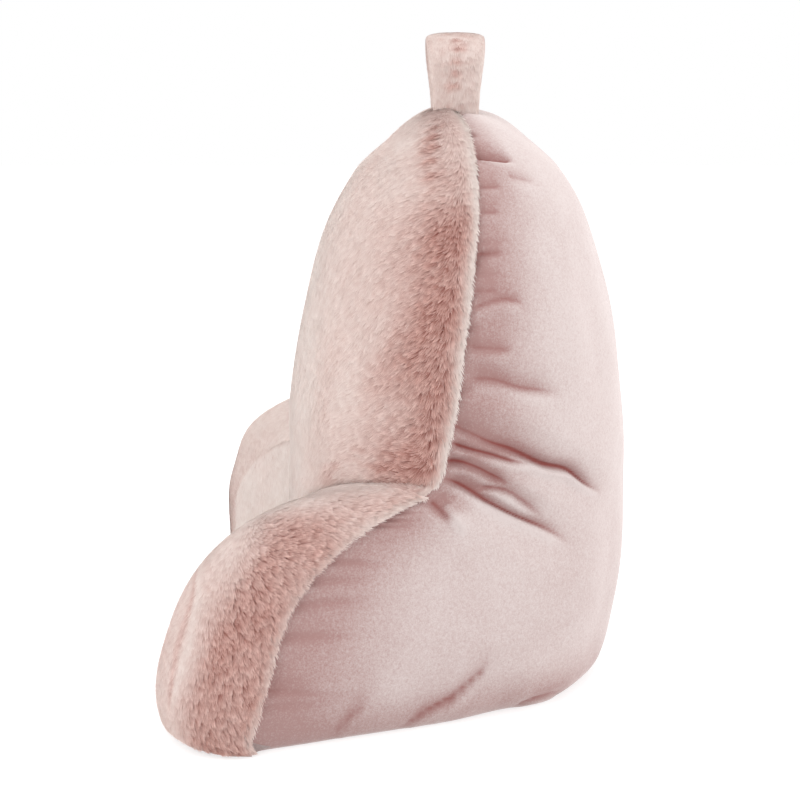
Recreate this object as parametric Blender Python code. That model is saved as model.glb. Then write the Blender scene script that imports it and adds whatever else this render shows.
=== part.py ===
"""Reading pillow with arms: a plump back cushion with two splayed arms, one filled velvet body, with panels
of long pile on the front of the back, over the arms and inside them, and a pile carrying loop on the crown.

Metres, +Z up. The pillow stands on its flat base and faces -Y. The origin is the middle of its footprint.

Everything hangs on one seam, the line where the pile panels meet the velvet. It climbs from the floor at the
front of an arm, runs back along the arm's outer edge, turns up at the corner and arches over the crown. The
velvet is a stack of level slices that leave this seam and run round to the rear. The arms and slices are
worked out for the right half (+X) and mirrored.
"""

from collections import namedtuple

import bmesh
import bpy
import numpy as np
from mathutils import Vector

# Back cushion
CROWN = 0.496  # height of the top seam
HALF_WIDTH = 0.212  # from the middle to the side seam
ARCH_FROM = 0.245  # height where the sides start to round in
ARCH_POWER = 2.15
WAIST = 0.150  # height of the fullest slice
FRONT_REACH = 0.147  # how far the back swells forwards and rearwards of the crown, at the waist
REAR_REACH = 0.156
FRONT_FOOT = 0.129  # the same at the floor, where it draws in
REAR_FOOT = 0.128
FRONT_DOME = 2.0  # powers of the domed profiles above the waist
REAR_DOME = 2.22
FOOT_POWER = 3.0
SLICE_POWER = 2.2  # power of the front's level slices
ROW_FADE = 0.35  # share of the side seam over which the front's rows turn level
HEART = (0.0, 0.01, 0.17)  # the folds press towards this point
SETBACK = 0.0463  # the crown stands this far behind the middle of the footprint

# Arms
CORNER_LEVEL = 0.202  # where the arm's outer seam meets the side seam
INNER_HALF = 0.128  # from the middle to where an arm's inner face meets the back
INNER_LEVEL = 0.164  # the arm's height there
END_CROWN = 0.008  # rise of the band where it ends against the back
END_FADE = 0.45  # share of the arm where the band starts to bend to its end
KNEE = 0.170  # share of the half seam up to the arm's knee
INNER_SWELL = 0.012

# Pile panels and loop
PILE = 0.008
RIM_SHARE = 0.55  # of the pile's depth, at a panel's rim
LUMP = 0.22  # share by which the pile's depth varies
LUMP_PITCH = 0.058
LOCK = 0.007  # length of the locks that hang over the velvet at a panel's rim
GAP = 0.0013  # between a panel and the body
FLOOR_CLEAR = 0.0010  # the panels end this far above the base
CORNER_CLEAR = 0.0095  # a panel stops this far short of an inside corner
SEAM_CLEAR = 0.0015  # and this far short of the seam between a band and an inner face
LOOP_RISE = 0.0675  # of the loop's top above the crown
LOOP_HALF = 0.036  # from the middle to the middle of a leg
LOOP_THICK = 0.014
LOOP_CLEAR = 0.0010  # between its feet and the crown
LOOP_FOOT_WIDTH = 0.045
LOOP_TOP_WIDTH = 0.057
LOOP_CORNER = 0.024  # radius of the loop's two bends
LOOP_SQUARE = 0.75  # how square its section is: 1 is an ellipse
LOOP_SINK = 0.004  # its path ends this far below the crown, before its feet are cut

# How far the side seam stands behind the crown, by height
Lean = namedtuple("Lean", "level behind")
LEAN = (
    Lean(0.000, -0.0340),
    Lean(0.120, -0.0300),
    Lean(0.202, -0.0218),
    Lean(0.240, -0.0110),
    Lean(0.294, -0.0035),
    Lean(0.348, 0.0035),
    Lean(0.386, 0.0085),
    Lean(0.435, 0.0115),
    Lean(0.465, 0.0090),
    Lean(0.485, 0.0045),
    Lean(CROWN, 0.0000),
)

# The outer seam along the arm, from the floor back towards the corner. A slice leaves it running back, and
# "flare" is its sideways step for each step back. "leave" and "arrive" are the lengths over which it turns.
ArmRow = namedtuple("ArmRow", "x y z flare leave arrive")
ARM = (
    ArmRow(0.275, -0.1660, 0.000, -0.46, 0.175, 0.195),  # foot
    ArmRow(0.277, -0.1550, 0.040, -0.32, 0.185, 0.180),  # nose
    ArmRow(0.264, -0.1430, 0.098, -0.22, 0.190, 0.175),  # knee
    ArmRow(0.239, -0.0925, 0.158, -0.20, 0.160, 0.150),  # arm
    ArmRow(0.222, -0.0480, 0.184, -0.18, 0.130, 0.140),  # elbow
)
CORNER_SLICE = (-0.10, 0.115, 0.130)
SIDE_LEVEL = 0.232
SIDE_SLICE = (0.00, 0.105, 0.122)
ARCH_LEVELS = (0.285, 0.325, 0.365, 0.400, 0.430, 0.453, 0.473, 0.4855, 0.493, CROWN)
ARCH_FLARE = 0.08  # the velvet puffs out from the side seam
FLARE_RISE = 0.05  # height over which it starts to
ARCH_FULLNESS = 1.03
QUARTER = 0.5523  # handle length that turns a cubic into a quarter ellipse

# The arm band beside each row above: its inner seam, the way it swells, and how far at its outer and inner edge
BandRow = namedtuple("BandRow", "x y z swell_x swell_y swell_z outer inner")
BAND = (
    BandRow(0.200, -0.229, 0.000, 0.25, -0.97, 0.00, 0.050, 0.018),  # foot
    BandRow(0.196, -0.235, 0.040, 0.22, -0.95, 0.00, 0.080, 0.018),  # nose
    BandRow(0.188, -0.213, 0.097, 0.12, -0.66, 0.70, 0.079, 0.028),  # knee
    BandRow(0.166, -0.171, 0.138, 0.02, -0.24, 0.96, 0.052, 0.022),  # arm
    BandRow(0.144, -0.147, 0.156, -0.04, -0.04, 1.00, 0.022, 0.014),  # elbow
)
CORNER_SWELL = (0.00, 0.00, 1.00, 0.010, 0.010)
TUCK = 0.12  # share of the band's width that its swell leans in

# The main folds of the velvet: the start, middle and end of each, as the share of the way round from the seam
# to the rear and the height there, then its depth and half its width
Fold = namedtuple("Fold", "round_1 level_1 round_2 level_2 round_3 level_3 depth half")
FOLDS = (
    Fold(0.01, 0.250, 0.26, 0.219, 0.64, 0.172, 0.0080, 0.027),  # longest crease, from the arm's corner rearwards
    Fold(0.01, 0.207, 0.26, 0.177, 0.55, 0.132, 0.0075, 0.027),  # the one below it
    Fold(0.01, 0.220, 0.14, 0.205, 0.24, 0.195, 0.0035, 0.018),  # between them
    Fold(0.12, 0.198, 0.31, 0.179, 0.42, 0.163, 0.0025, 0.018),
    Fold(0.03, 0.287, 0.19, 0.280, 0.38, 0.268, 0.0040, 0.022),  # above them
    Fold(0.01, 0.459, 0.15, 0.458, 0.32, 0.455, 0.0045, 0.021),  # below the crown
    Fold(0.32, 0.014, 0.36, 0.038, 0.40, 0.056, 0.0040, 0.021),  # draws in to the base
)
SEAM_HOLD = 0.04  # share of the way round over which the seam holds a fold flat
FOLD_FADE = 0.12  # how much of a fold's full depth it has where it starts

# How finely each piece is divided
ROWS_NOSE = 6
ROWS_ARM = 12
ROWS_BACK = 22
ROWS_BARE = 4  # rows at the crown that the front panel leaves to the loop
ROUND_STEPS = 22
BAND_STEPS = 6
MIDDLE_STEPS = 5
LOOP_SIDES = 14
LOOP_ARC_STEPS = 6
LOOP_LEG_STEPS = 6
CURVE_STEPS = 40  # places read along a fold
LEVEL_STEPS = 400  # and along the seam, to find a height on it

VELVET = (0.72, 0.55, 0.53, 1.0)
FUR = (0.66, 0.44, 0.41, 1.0)


def spline(knots, rows, at):
    """Natural cubic spline through the rows, one for each knot, read at any places."""
    knots, rows = np.asarray(knots, float), np.asarray(rows, float)
    step = np.diff(knots)
    count = len(knots)
    matrix, right = np.eye(count), np.zeros_like(rows)
    for i in range(1, count - 1):
        matrix[i, i - 1 : i + 2] = step[i - 1], 2 * (step[i - 1] + step[i]), step[i]
        right[i] = 6 * ((rows[i + 1] - rows[i]) / step[i] - (rows[i] - rows[i - 1]) / step[i - 1])
    bend = np.linalg.solve(matrix, right)
    at = np.asarray(at, float)
    i = np.clip(np.searchsorted(knots, at) - 1, 0, count - 2)
    width = step[i][..., None]
    past = (at - knots[i])[..., None]
    left = width - past
    curve = (bend[i] * left**3 + bend[i + 1] * past**3) / (6 * width)
    return curve + (rows[i] / width - bend[i] * width / 6) * left + (
        rows[i + 1] / width - bend[i + 1] * width / 6
    ) * past


def cubic(a, b, c, d, t):
    """Bezier cubic from a to d with handles b and c."""
    r = 1 - t
    return r**3 * a + 3 * r * r * t * b + 3 * r * t * t * c + t**3 * d


def rounded(share, power):
    """Height of a superellipse's edge at this share of its half width."""
    inside = np.clip(1 - np.clip(np.abs(share), 0, 1) ** power, 0, 1)
    return inside ** (1 / power)


def eased(share):
    share = np.clip(share, 0, 1)
    return share * share * (3 - 2 * share)


def lean(level):
    table = np.array(LEAN)
    return spline(table[:, 0], table[:, 1:], level)[..., 0]


def half_width(level):
    return HALF_WIDTH * rounded(np.clip(level - ARCH_FROM, 0, None) / (CROWN - ARCH_FROM), ARCH_POWER)


def reach(level, most, foot, power):
    """Profile of the back's middle: a dome above the waist, drawn in to the foot below it."""
    dome = most * rounded((level - WAIST) / (CROWN - WAIST), power)
    drawn = most - (most - foot) * np.clip((WAIST - level) / WAIST, 0, 1) ** FOOT_POWER
    return np.where(level > WAIST, dome, drawn)


def rear_reach(level):
    return reach(level, REAR_REACH, REAR_FOOT, REAR_DOME)


def front_surface(x, level):
    """Y of the back's front at this x and height: a superellipse slice between the side seams."""
    seam = lean(level)
    swell = seam + reach(level, FRONT_REACH, FRONT_FOOT, FRONT_DOME)
    return seam - swell * rounded(x / np.maximum(half_width(level), 1e-9), SLICE_POWER)


def seam_rows():
    """Rows of the whole half seam: the arm's table, the corner, the side, then the arch by formula."""
    rows = list(ARM)
    rows.append((HALF_WIDTH, float(lean(CORNER_LEVEL)), CORNER_LEVEL) + CORNER_SLICE)
    rows.append((HALF_WIDTH, float(lean(SIDE_LEVEL)), SIDE_LEVEL) + SIDE_SLICE)
    for level in ARCH_LEVELS:
        half, behind = float(half_width(level)), float(lean(level))
        turn = QUARTER * ARCH_FULLNESS
        flare = ARCH_FLARE * min(1.0, (level - SIDE_LEVEL) / FLARE_RISE)
        rows.append((half, behind, level, flare, turn * (float(rear_reach(level)) - behind), turn * half))
    return np.array(rows)


SEAM = seam_rows()
SEAM_AT = np.concatenate([[0], np.cumsum(np.linalg.norm(np.diff(SEAM[:, :3], axis=0), axis=1))])
SEAM_AT = SEAM_AT / SEAM_AT[-1]
CORNER = SEAM_AT[len(ARM)]


def seam_point(v):
    return spline(SEAM_AT, SEAM[:, :3], v)


def velvet_surface(v, t):
    """Velvet: v climbs the seam, t runs level from the seam (0) round to the rear middle (1)."""
    row = spline(SEAM_AT, SEAM, v)
    x, y, z, flare, leave, arrive = np.moveaxis(row, -1, 0)
    back = rear_reach(z)
    length = np.sqrt(1 + flare**2)
    across = cubic(x, x + flare / length * leave, arrive, 0 * x, t)
    along = cubic(y, y + leave / length, back, back, t)
    return np.stack([across, along, z + 0 * t], -1)


def corner_line(q):
    """Where the arm's inner face meets the back, from the floor (0) to the arm's top (1)."""
    level = INNER_LEVEL * q
    across = INNER_HALF + 0 * level
    return np.stack([across, front_surface(across, level), level], -1)


def band_rows():
    inner_end = corner_line(np.ones(1))[0]
    return np.vstack([np.array(BAND), np.concatenate([inner_end, CORNER_SWELL])])


BAND_TABLE = band_rows()


def inner_seam(v):
    return spline(SEAM_AT[: len(BAND_TABLE)], BAND_TABLE[:, :3], v)


def band_end(w):
    """The curve on the back's front where the band stops, from the side seam (0) to the inner corner (1)."""
    start = np.pi / 2
    stop = np.arcsin((INNER_HALF / HALF_WIDTH) ** (SLICE_POWER / 2))
    across = HALF_WIDTH * np.sin(start + (stop - start) * w) ** (2 / SLICE_POWER)
    level = CORNER_LEVEL + (INNER_LEVEL - CORNER_LEVEL) * w + END_CROWN * 4 * w * (1 - w)
    return np.stack([across, front_surface(across, level), level], -1)


def swelling(v, w):
    """The band before it is fitted to the back: a cubic arch from the outer to the inner seam."""
    outer, inner = seam_point(v), inner_seam(v)
    swell = spline(SEAM_AT[: len(BAND_TABLE)], BAND_TABLE[:, 3:], v)
    way = swell[..., :3] / np.linalg.norm(swell[..., :3], axis=-1, keepdims=True)
    tuck = (inner - outer) * TUCK
    return cubic(
        outer, outer + tuck + way * swell[..., 3:4], inner - tuck + way * swell[..., 4:5], inner, w[..., None]
    )


def band_surface(v, w):
    """Arm band: v as on the seam, w from the outer seam (0) to the inner seam (1)."""
    fitted = eased((v / CORNER - END_FADE) / (1 - END_FADE))[..., None]
    end = band_end(w) - swelling(np.full_like(w, CORNER), w)
    return swelling(v, w) + fitted * end


def inner_surface(p, q):
    """Arm's inner face, blended from its four edges: p from the back (0) to the nose (1), q from the floor up."""
    p3, q3 = p[..., None], q[..., None]
    at_back, at_nose = corner_line(q), inner_seam(q * KNEE)
    on_top = inner_seam(CORNER + (KNEE - CORNER) * p)
    back_foot, nose_foot = corner_line(np.zeros(1))[0], inner_seam(np.zeros(1))[0]
    back_top, nose_top = corner_line(np.ones(1))[0], inner_seam(np.full(1, KNEE))[0]
    on_floor = back_foot + (nose_foot - back_foot) * p3
    on_floor = on_floor - np.stack([INNER_SWELL * 2 * p * (1 - p), 0 * p, 0 * p], -1)
    corners = (1 - p3) * ((1 - q3) * back_foot + q3 * back_top) + p3 * ((1 - q3) * nose_foot + q3 * nose_top)
    face = (1 - p3) * at_back + p3 * at_nose + (1 - q3) * on_floor + q3 * on_top - corners
    return face - np.stack([INNER_SWELL * 16 * p * (1 - p) * q * (1 - q), 0 * p, 0 * p], -1)


def folded(points, v, t):
    """The velvet with its deepest folds pressed in, each a soft trough along a curve of three points."""
    toward = np.array(HEART) - points
    toward = toward / np.linalg.norm(toward, axis=-1, keepdims=True)
    share = np.linspace(0, 1, CURVE_STEPS + 1)
    places = np.linspace(0, 1, LEVEL_STEPS)
    levels = seam_point(places)[:, 2]
    for fold in FOLDS:
        way = spline((0.0, 0.5, 1.0), np.array(fold[:6]).reshape(3, 2), share)
        climb = np.interp(way[:, 1], levels, places)
        line = velvet_surface(climb, way[:, 0])
        away = np.linalg.norm(points[..., None, :] - line, axis=-1)
        nearest = away.argmin(-1)
        away = away.min(-1)
        fade = np.sqrt(np.clip(np.sin(np.pi * (FOLD_FADE + (1 - FOLD_FADE) * share[nearest])), 0, 1))
        trough = np.clip(1 - (away / fold.half) ** 2, 0, 1) ** 2
        points = points + toward * (fold.depth * trough * fade * eased(t / SEAM_HOLD))[..., None]
    return points


def grid(surface, us, vs):
    u, v = np.meshgrid(us, vs, indexing="ij")
    return surface(u, v)


def seam_places():
    nose = np.linspace(0, KNEE, ROWS_NOSE + 1)
    arm = np.linspace(KNEE, CORNER, ROWS_ARM + 1)[1:]
    back = np.linspace(CORNER, 1, ROWS_BACK + 1)
    return nose, arm, back


def velvet_sheet():
    nose, arm, back = seam_places()
    v, t = np.meshgrid(np.concatenate([nose, arm, back[1:]]), np.linspace(0, 1, ROUND_STEPS + 1), indexing="ij")
    return folded(velvet_surface(v, t), v, t)[:, ::-1]


def front_upper():
    """Front of the back above the arms, row by row from the arm's end to the crown, from the side to the middle."""
    _, _, back = seam_places()
    stop = np.arcsin((INNER_HALF / HALF_WIDTH) ** (SLICE_POWER / 2))
    turn = np.linspace(stop, np.pi / 2, BAND_STEPS + 1)
    middle = np.arcsin((np.linspace(0, 1, MIDDLE_STEPS + 1) * INNER_HALF / HALF_WIDTH) ** (SLICE_POWER / 2))
    turn = np.concatenate([middle[:-1], turn])
    share = np.sin(turn) ** (2 / SLICE_POWER)
    first = np.full(len(turn), INNER_LEVEL)
    first[MIDDLE_STEPS:] = band_end(np.linspace(1, 0, BAND_STEPS + 1))[:, 2]
    rows = []
    for v in back:
        level = float(seam_point(np.full(1, v))[0, 2])
        kept = 1 - float(eased((v - CORNER) / (ROW_FADE * (1 - CORNER))))
        levels = level + (first - CORNER_LEVEL) * kept
        across = share * half_width(levels)
        rows.append(np.stack([across, front_surface(across, levels), levels], -1))
    right = np.array(rows)
    right[:, -1] = seam_point(back)
    return right[:, ::-1]


def front_lower(top_row):
    """Front of the back between the arms, from the floor up to the middle of the row above."""
    x, level = top_row[:, 0], top_row[:, 2]
    rows = [np.stack([x, front_surface(x, level * q), level * q], -1) for q in np.linspace(0, 1, ROWS_NOSE + 1)]
    return np.array(rows)


def band_sheet():
    nose, arm, _ = seam_places()
    return grid(band_surface, np.concatenate([nose, arm]), np.linspace(0, 1, BAND_STEPS + 1))


def inner_sheet():
    return grid(inner_surface, np.linspace(0, 1, ROWS_ARM + 1), np.linspace(0, 1, ROWS_NOSE + 1))


def add_sheet(mesh, points, side):
    """Quads over a grid of points on the right (side 1), facing the way that rows cross columns, or on the left.
    Returns its vertices, row by row."""
    rows, columns = points.shape[:2]
    points = points * [side, 1, 1]
    verts = [[mesh.verts.new(points[i, j]) for j in range(columns)] for i in range(rows)]
    for i in range(rows - 1):
        for j in range(columns - 1):
            corners = (verts[i][j], verts[i + 1][j], verts[i + 1][j + 1], verts[i][j + 1])
            mesh.faces.new(corners if side > 0 else (corners[0],) + corners[:0:-1])
    return verts


def finish_object(name, mesh, material):
    """A named object of the mesh, moved so that the footprint's middle is the origin."""
    bmesh.ops.translate(mesh, verts=mesh.verts, vec=(0, SETBACK, 0))
    data = bpy.data.meshes.new(name)
    mesh.to_mesh(data)
    mesh.free()
    data.materials.append(material)
    data.shade_smooth()
    obj = bpy.data.objects.new(name, data)
    bpy.context.scene.collection.objects.link(obj)
    return obj


def make_body(material, upper, lower, band, inner):
    mesh = bmesh.new()
    for sheet in (velvet_sheet(), upper, lower, band, inner):
        add_sheet(mesh, sheet, 1)
        add_sheet(mesh, sheet, -1)
    bmesh.ops.remove_doubles(mesh, verts=mesh.verts, dist=1e-6)
    bmesh.ops.dissolve_degenerate(mesh, edges=mesh.edges, dist=1e-6)
    rim = [edge for edge in mesh.edges if edge.is_boundary]
    bmesh.ops.contextual_create(mesh, geom=rim)
    bmesh.ops.triangulate(mesh, faces=mesh.faces, quad_method="FIXED")
    bmesh.ops.recalc_face_normals(mesh, faces=mesh.faces)
    return finish_object("cushion_body", mesh, material)


def lumps(place):
    """How the pile's depth varies over a panel, from -1 to 1: two crossing waves, the same on both sides."""
    turn = 2 * np.pi / LUMP_PITCH
    across, down = abs(place.x) + 0.35 * place.z, 0.8 * place.z + 0.9 * place.y
    return float(np.sin(turn * across) * np.sin(turn * down))


def make_panel(name, material, sheets, sides, locks):
    """A lumpy slab of pile on the body: the sheets lifted by the gap, and again by the pile, which thins at the
    rim. With locks, a pointed lock stands on each stretch of the rim along the first column of the first sheet."""
    mesh = bmesh.new()
    seam = mesh.verts.layers.int.new("seam")
    for sheet in sheets:
        for side in sides:
            verts = add_sheet(mesh, sheet, side)
            for row in verts if locks and sheet is sheets[0] else ():
                row[0][seam] = 1
    bmesh.ops.remove_doubles(mesh, verts=mesh.verts, dist=1e-6)
    bmesh.ops.triangulate(mesh, faces=mesh.faces, quad_method="FIXED")
    mesh.normal_update()
    rim = {vert for edge in mesh.edges if edge.is_boundary for vert in edge.verts}
    under, over = {}, {}
    for vert in mesh.verts:
        depth = PILE * (RIM_SHARE if vert in rim else 1 + LUMP * lumps(vert.co))
        under[vert] = vert.co + vert.normal * GAP
        over[vert] = vert.co + vert.normal * (GAP + depth)
    backing = {vert: mesh.verts.new(place) for vert, place in under.items()}
    for vert, place in over.items():
        vert.co = place
    for face in list(mesh.faces):
        mesh.faces.new([backing[vert] for vert in reversed(face.verts)])
    rim_walls = []
    for edge in [edge for edge in mesh.edges if edge.is_boundary and edge.verts[0] in over]:
        a, b = (loop.vert for loop in (edge.link_loops[0], edge.link_loops[0].link_loop_next))
        wall = mesh.faces.new((b, a, backing[a], backing[b]))
        if a[seam] and b[seam]:
            rim_walls.append(wall)
    mesh.normal_update()
    bmesh.ops.poke(mesh, faces=rim_walls, offset=LOCK)
    for vert in mesh.verts:
        vert.co.z = max(vert.co.z, FLOOR_CLEAR)
    bmesh.ops.triangulate(mesh, faces=mesh.faces, quad_method="FIXED")
    return finish_object(name, mesh, material)


def pulled(edge, inside, clear):
    """The edge row moved towards the row inside it by this distance, so it stays on the same faces."""
    step = inside - edge
    return edge + step * clear / np.linalg.norm(step, axis=-1, keepdims=True)


def panel_sheets(upper, lower, band, inner):
    """The pile panels' sheets, cut back from the inside corners between the back and the arms, and from the loop."""
    corner = BAND_STEPS
    upper, lower, band, inner = upper[:-ROWS_BARE].copy(), lower.copy(), band.copy(), inner.copy()
    corner_row = pulled(upper[:2, corner], upper[:2, corner + 1], CORNER_CLEAR)
    upper[0, :corner] = pulled(upper[0, :corner], upper[1, :corner], CORNER_CLEAR)
    upper[0, corner] = pulled(corner_row[0], corner_row[1], CORNER_CLEAR)
    lower[:, 0] = pulled(lower[:, 0], lower[:, 1], CORNER_CLEAR)
    lower[-1, 0] = upper[0, corner]
    band[:, -1] = pulled(band[:, -1], band[:, -2], SEAM_CLEAR)
    band[-1] = pulled(band[-1], band[-2], CORNER_CLEAR)
    inner[:, -1] = pulled(inner[:, -1], inner[:, -2], SEAM_CLEAR)
    inner[-1] = pulled(inner[-1], inner[-2], SEAM_CLEAR)
    inner[0] = pulled(inner[0], inner[1], CORNER_CLEAR)
    return upper, lower, band, inner


def loop_path():
    """Middle line of the loop in the XZ plane, from the left foot over the top to the right foot."""
    top = CROWN + LOOP_RISE - LOOP_THICK / 2
    foot = CROWN - LOOP_SINK
    bend = np.linspace(0, np.pi / 2, LOOP_ARC_STEPS + 1)
    corner = np.stack([np.sin(bend), np.cos(bend)], -1) * LOOP_CORNER
    corner = corner + [LOOP_HALF - LOOP_CORNER, top - LOOP_CORNER]
    leg = np.linspace(corner[-1], (LOOP_HALF, foot), LOOP_LEG_STEPS + 1)[1:]
    right = np.concatenate([[(0.0, top)], corner, leg])
    return np.concatenate([right[:0:-1] * [-1, 1], right])


def make_handle(material, body):
    """The loop: a rounded flat section along the path, its feet cut to the body's crown."""
    path = loop_path()
    along = np.gradient(path, axis=0)
    along = along / np.linalg.norm(along, axis=1, keepdims=True)
    side = np.stack([-along[:, 1], along[:, 0]], -1)
    rise = (path[:, 1] - path[:, 1].min()) / np.ptp(path[:, 1])
    width = LOOP_FOOT_WIDTH + (LOOP_TOP_WIDTH - LOOP_FOOT_WIDTH) * eased(rise)
    turn = np.linspace(0, 2 * np.pi, LOOP_SIDES, endpoint=False)
    flat = np.sign(np.cos(turn)) * np.abs(np.cos(turn)) ** LOOP_SQUARE
    thick = np.sign(np.sin(turn)) * np.abs(np.sin(turn)) ** LOOP_SQUARE
    rings = np.empty((len(path), LOOP_SIDES, 3))
    rings[..., 0] = path[:, None, 0] + side[:, None, 0] * thick * LOOP_THICK / 2
    rings[..., 1] = width[:, None] / 2 * flat
    rings[..., 2] = path[:, None, 1] + side[:, None, 1] * thick * LOOP_THICK / 2
    for ring in (rings[0], rings[-1]):
        for point in ring:
            above = Vector((point[0], point[1] + SETBACK, CROWN + LOOP_RISE))
            point[2] = body.ray_cast(above, Vector((0, 0, -1)))[1].z + LOOP_CLEAR
    mesh = bmesh.new()
    verts = [[mesh.verts.new(point) for point in ring] for ring in rings]
    for i in range(len(verts) - 1):
        for j in range(LOOP_SIDES):
            k = (j + 1) % LOOP_SIDES
            mesh.faces.new((verts[i][j], verts[i][k], verts[i + 1][k], verts[i + 1][j]))
    for ring in (verts[0], verts[-1]):
        for j in range(LOOP_SIDES // 2):
            k = LOOP_SIDES - j
            strip = (ring[j], ring[j + 1], ring[k - 1], ring[k % LOOP_SIDES])
            mesh.faces.new(dict.fromkeys(strip))
    bmesh.ops.triangulate(mesh, faces=mesh.faces, quad_method="FIXED")
    bmesh.ops.recalc_face_normals(mesh, faces=mesh.faces)
    return finish_object("handle", mesh, material)


def make_material(name, colour, roughness):
    material = bpy.data.materials.new(name)
    material.use_nodes = True
    shader = material.node_tree.nodes["Principled BSDF"]
    shader.inputs["Base Color"].default_value = colour
    shader.inputs["Roughness"].default_value = roughness
    shader.inputs["Metallic"].default_value = 0.0
    return material


def main():
    for obj in list(bpy.data.objects):
        bpy.data.objects.remove(obj)
    velvet = make_material("velvet", VELVET, 0.85)
    fur = make_material("fur", FUR, 0.95)
    upper = front_upper()
    lower = front_lower(upper[0, BAND_STEPS:])
    band, inner = band_sheet(), inner_sheet()
    body = make_body(velvet, upper, lower, band, inner)
    upper, lower, band, inner = panel_sheets(upper, lower, band, inner)
    make_panel("front_panel", fur, (upper, lower), (1, -1), True)
    for name, side in (("right", 1), ("left", -1)):
        make_panel("arm_band_" + name, fur, (band,), (side,), True)
        make_panel("arm_inner_" + name, fur, (inner,), (side,), False)
    make_handle(fur, body)


main()
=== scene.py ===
"""Looks of a reading pillow with arms: the velvet cover with its folds, the long pile on the front of the
back, over the arms and inside them, the pile carrying loop, and a plain pale studio.

Metres, +Z up. The pillow stands on its flat base and faces -Y. The origin is the middle of its footprint.
Every surface hangs on one seam, which climbs the front of an arm, runs back along its outer edge, turns
up at the corner and arches over the crown. The right half (+X) is worked out first and mirrored.
"""

from collections import namedtuple

import bmesh
import bpy
import numpy as np
from bpy.props import FloatProperty, FloatVectorProperty, IntProperty, PointerProperty
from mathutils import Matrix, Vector


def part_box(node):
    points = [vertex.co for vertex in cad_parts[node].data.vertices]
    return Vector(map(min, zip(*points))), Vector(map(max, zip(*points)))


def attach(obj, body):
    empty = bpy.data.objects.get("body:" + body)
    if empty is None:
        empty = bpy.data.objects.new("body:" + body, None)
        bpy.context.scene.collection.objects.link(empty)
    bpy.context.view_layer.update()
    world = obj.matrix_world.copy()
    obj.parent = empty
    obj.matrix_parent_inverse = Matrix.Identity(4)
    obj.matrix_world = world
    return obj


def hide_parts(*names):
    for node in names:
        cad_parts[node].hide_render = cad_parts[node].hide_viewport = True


bl_info = {
    "name": "Reading pillow with arms",
    "version": (1, 0, 0),
    "blender": (4, 5, 0),
    "location": "View3D > Sidebar > Pillow",
    "description": "Velvet cover, long pile, carrying loop and studio of a reading pillow",
    "category": "Object",
}

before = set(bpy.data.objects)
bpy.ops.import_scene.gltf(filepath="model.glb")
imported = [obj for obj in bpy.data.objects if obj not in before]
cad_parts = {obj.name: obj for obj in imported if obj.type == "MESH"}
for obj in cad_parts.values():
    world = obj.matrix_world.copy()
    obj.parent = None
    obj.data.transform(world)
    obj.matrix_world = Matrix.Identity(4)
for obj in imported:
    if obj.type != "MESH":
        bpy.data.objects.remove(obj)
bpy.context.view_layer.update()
COVER_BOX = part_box("cushion_body")
LOOP_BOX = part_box("handle")

SIDES = (("right", 1), ("left", -1))  # the halves and their signs along X
WAVES = 7  # sine waves in a sum of them

# Form of the back cushion
CROWN = COVER_BOX[1].z  # height of the top seam
HALF_WIDTH = 0.212  # from the middle to the side seam
ARCH_FROM = 0.245  # height where the sides start to round in
ARCH_POWER = 2.15  # of the arch's superellipse
WAIST = 0.150  # height of the fullest slice
FRONT_REACH = 0.147  # how far the back swells forwards and rearwards of the crown, at the waist
REAR_REACH = 0.156
FRONT_FOOT = 0.129  # the same at the floor
REAR_FOOT = 0.128
FRONT_DOME = 2.0  # powers of the profiles over the waist, of the foot, and of a level slice
REAR_DOME = 2.22
FOOT_POWER = 3.0
SLICE_POWER = 2.2
ROW_FADE = 0.35  # share of the side seam over which the front's rows turn level
HEART = (0.0, 0.01, 0.17)  # the folds press towards this point
SETBACK = 0.0463  # the crown stands this far behind the middle of the footprint

# Form of the arms
CORNER_LEVEL = 0.202  # where the arm's outer seam meets the side seam
INNER_HALF = 0.128  # from the middle to the arm's inner seam, on the back
INNER_LEVEL = 0.164  # height where that seam meets the back
END_CROWN = 0.008  # rise of the band's end over a straight line
END_FADE = 0.45  # share of the arm that the band's fit to the back leaves alone
KNEE = 0.170  # share of the seam where the nose turns into the arm's top
INNER_SWELL = 0.012  # of the arm's inner face, into the seat
TUCK = 0.12  # how far a band's slice starts inwards, as a share of its width

# How far the side seam stands behind the crown: height, distance
LEAN = (
    (0.000, -0.0340),
    (0.120, -0.0300),
    (0.202, -0.0218),
    (0.240, -0.0110),
    (0.294, -0.0035),
    (0.348, 0.0035),
    (0.386, 0.0085),
    (0.435, 0.0115),
    (0.465, 0.0090),
    (0.485, 0.0045),
    (CROWN, 0.0000),
)

# The arm's outer seam: x, y, z, sideways step for each step back, and the lengths over which a slice turns
ARM = (
    (0.275, -0.1660, 0.000, -0.46, 0.175, 0.195),
    (0.277, -0.1550, 0.040, -0.32, 0.185, 0.180),
    (0.264, -0.1430, 0.098, -0.22, 0.190, 0.175),
    (0.239, -0.0925, 0.158, -0.20, 0.160, 0.150),
    (0.222, -0.0480, 0.184, -0.18, 0.130, 0.140),
)
CORNER_SLICE = (-0.10, 0.115, 0.130)
SIDE_LEVEL = 0.232
SIDE_SLICE = (0.00, 0.105, 0.122)
ARCH_LEVELS = (0.285, 0.325, 0.365, 0.400, 0.430, 0.453, 0.473, 0.4855, 0.493, CROWN)
ARCH_FLARE = 0.08  # sideways step of the velvet for each step back, once the side has risen this far
FLARE_RISE = 0.05
ARCH_FULLNESS = 1.03  # of the arch's slices, beside a quarter ellipse
QUARTER = 0.5523  # handle of a cubic that draws a quarter circle of radius 1

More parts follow.
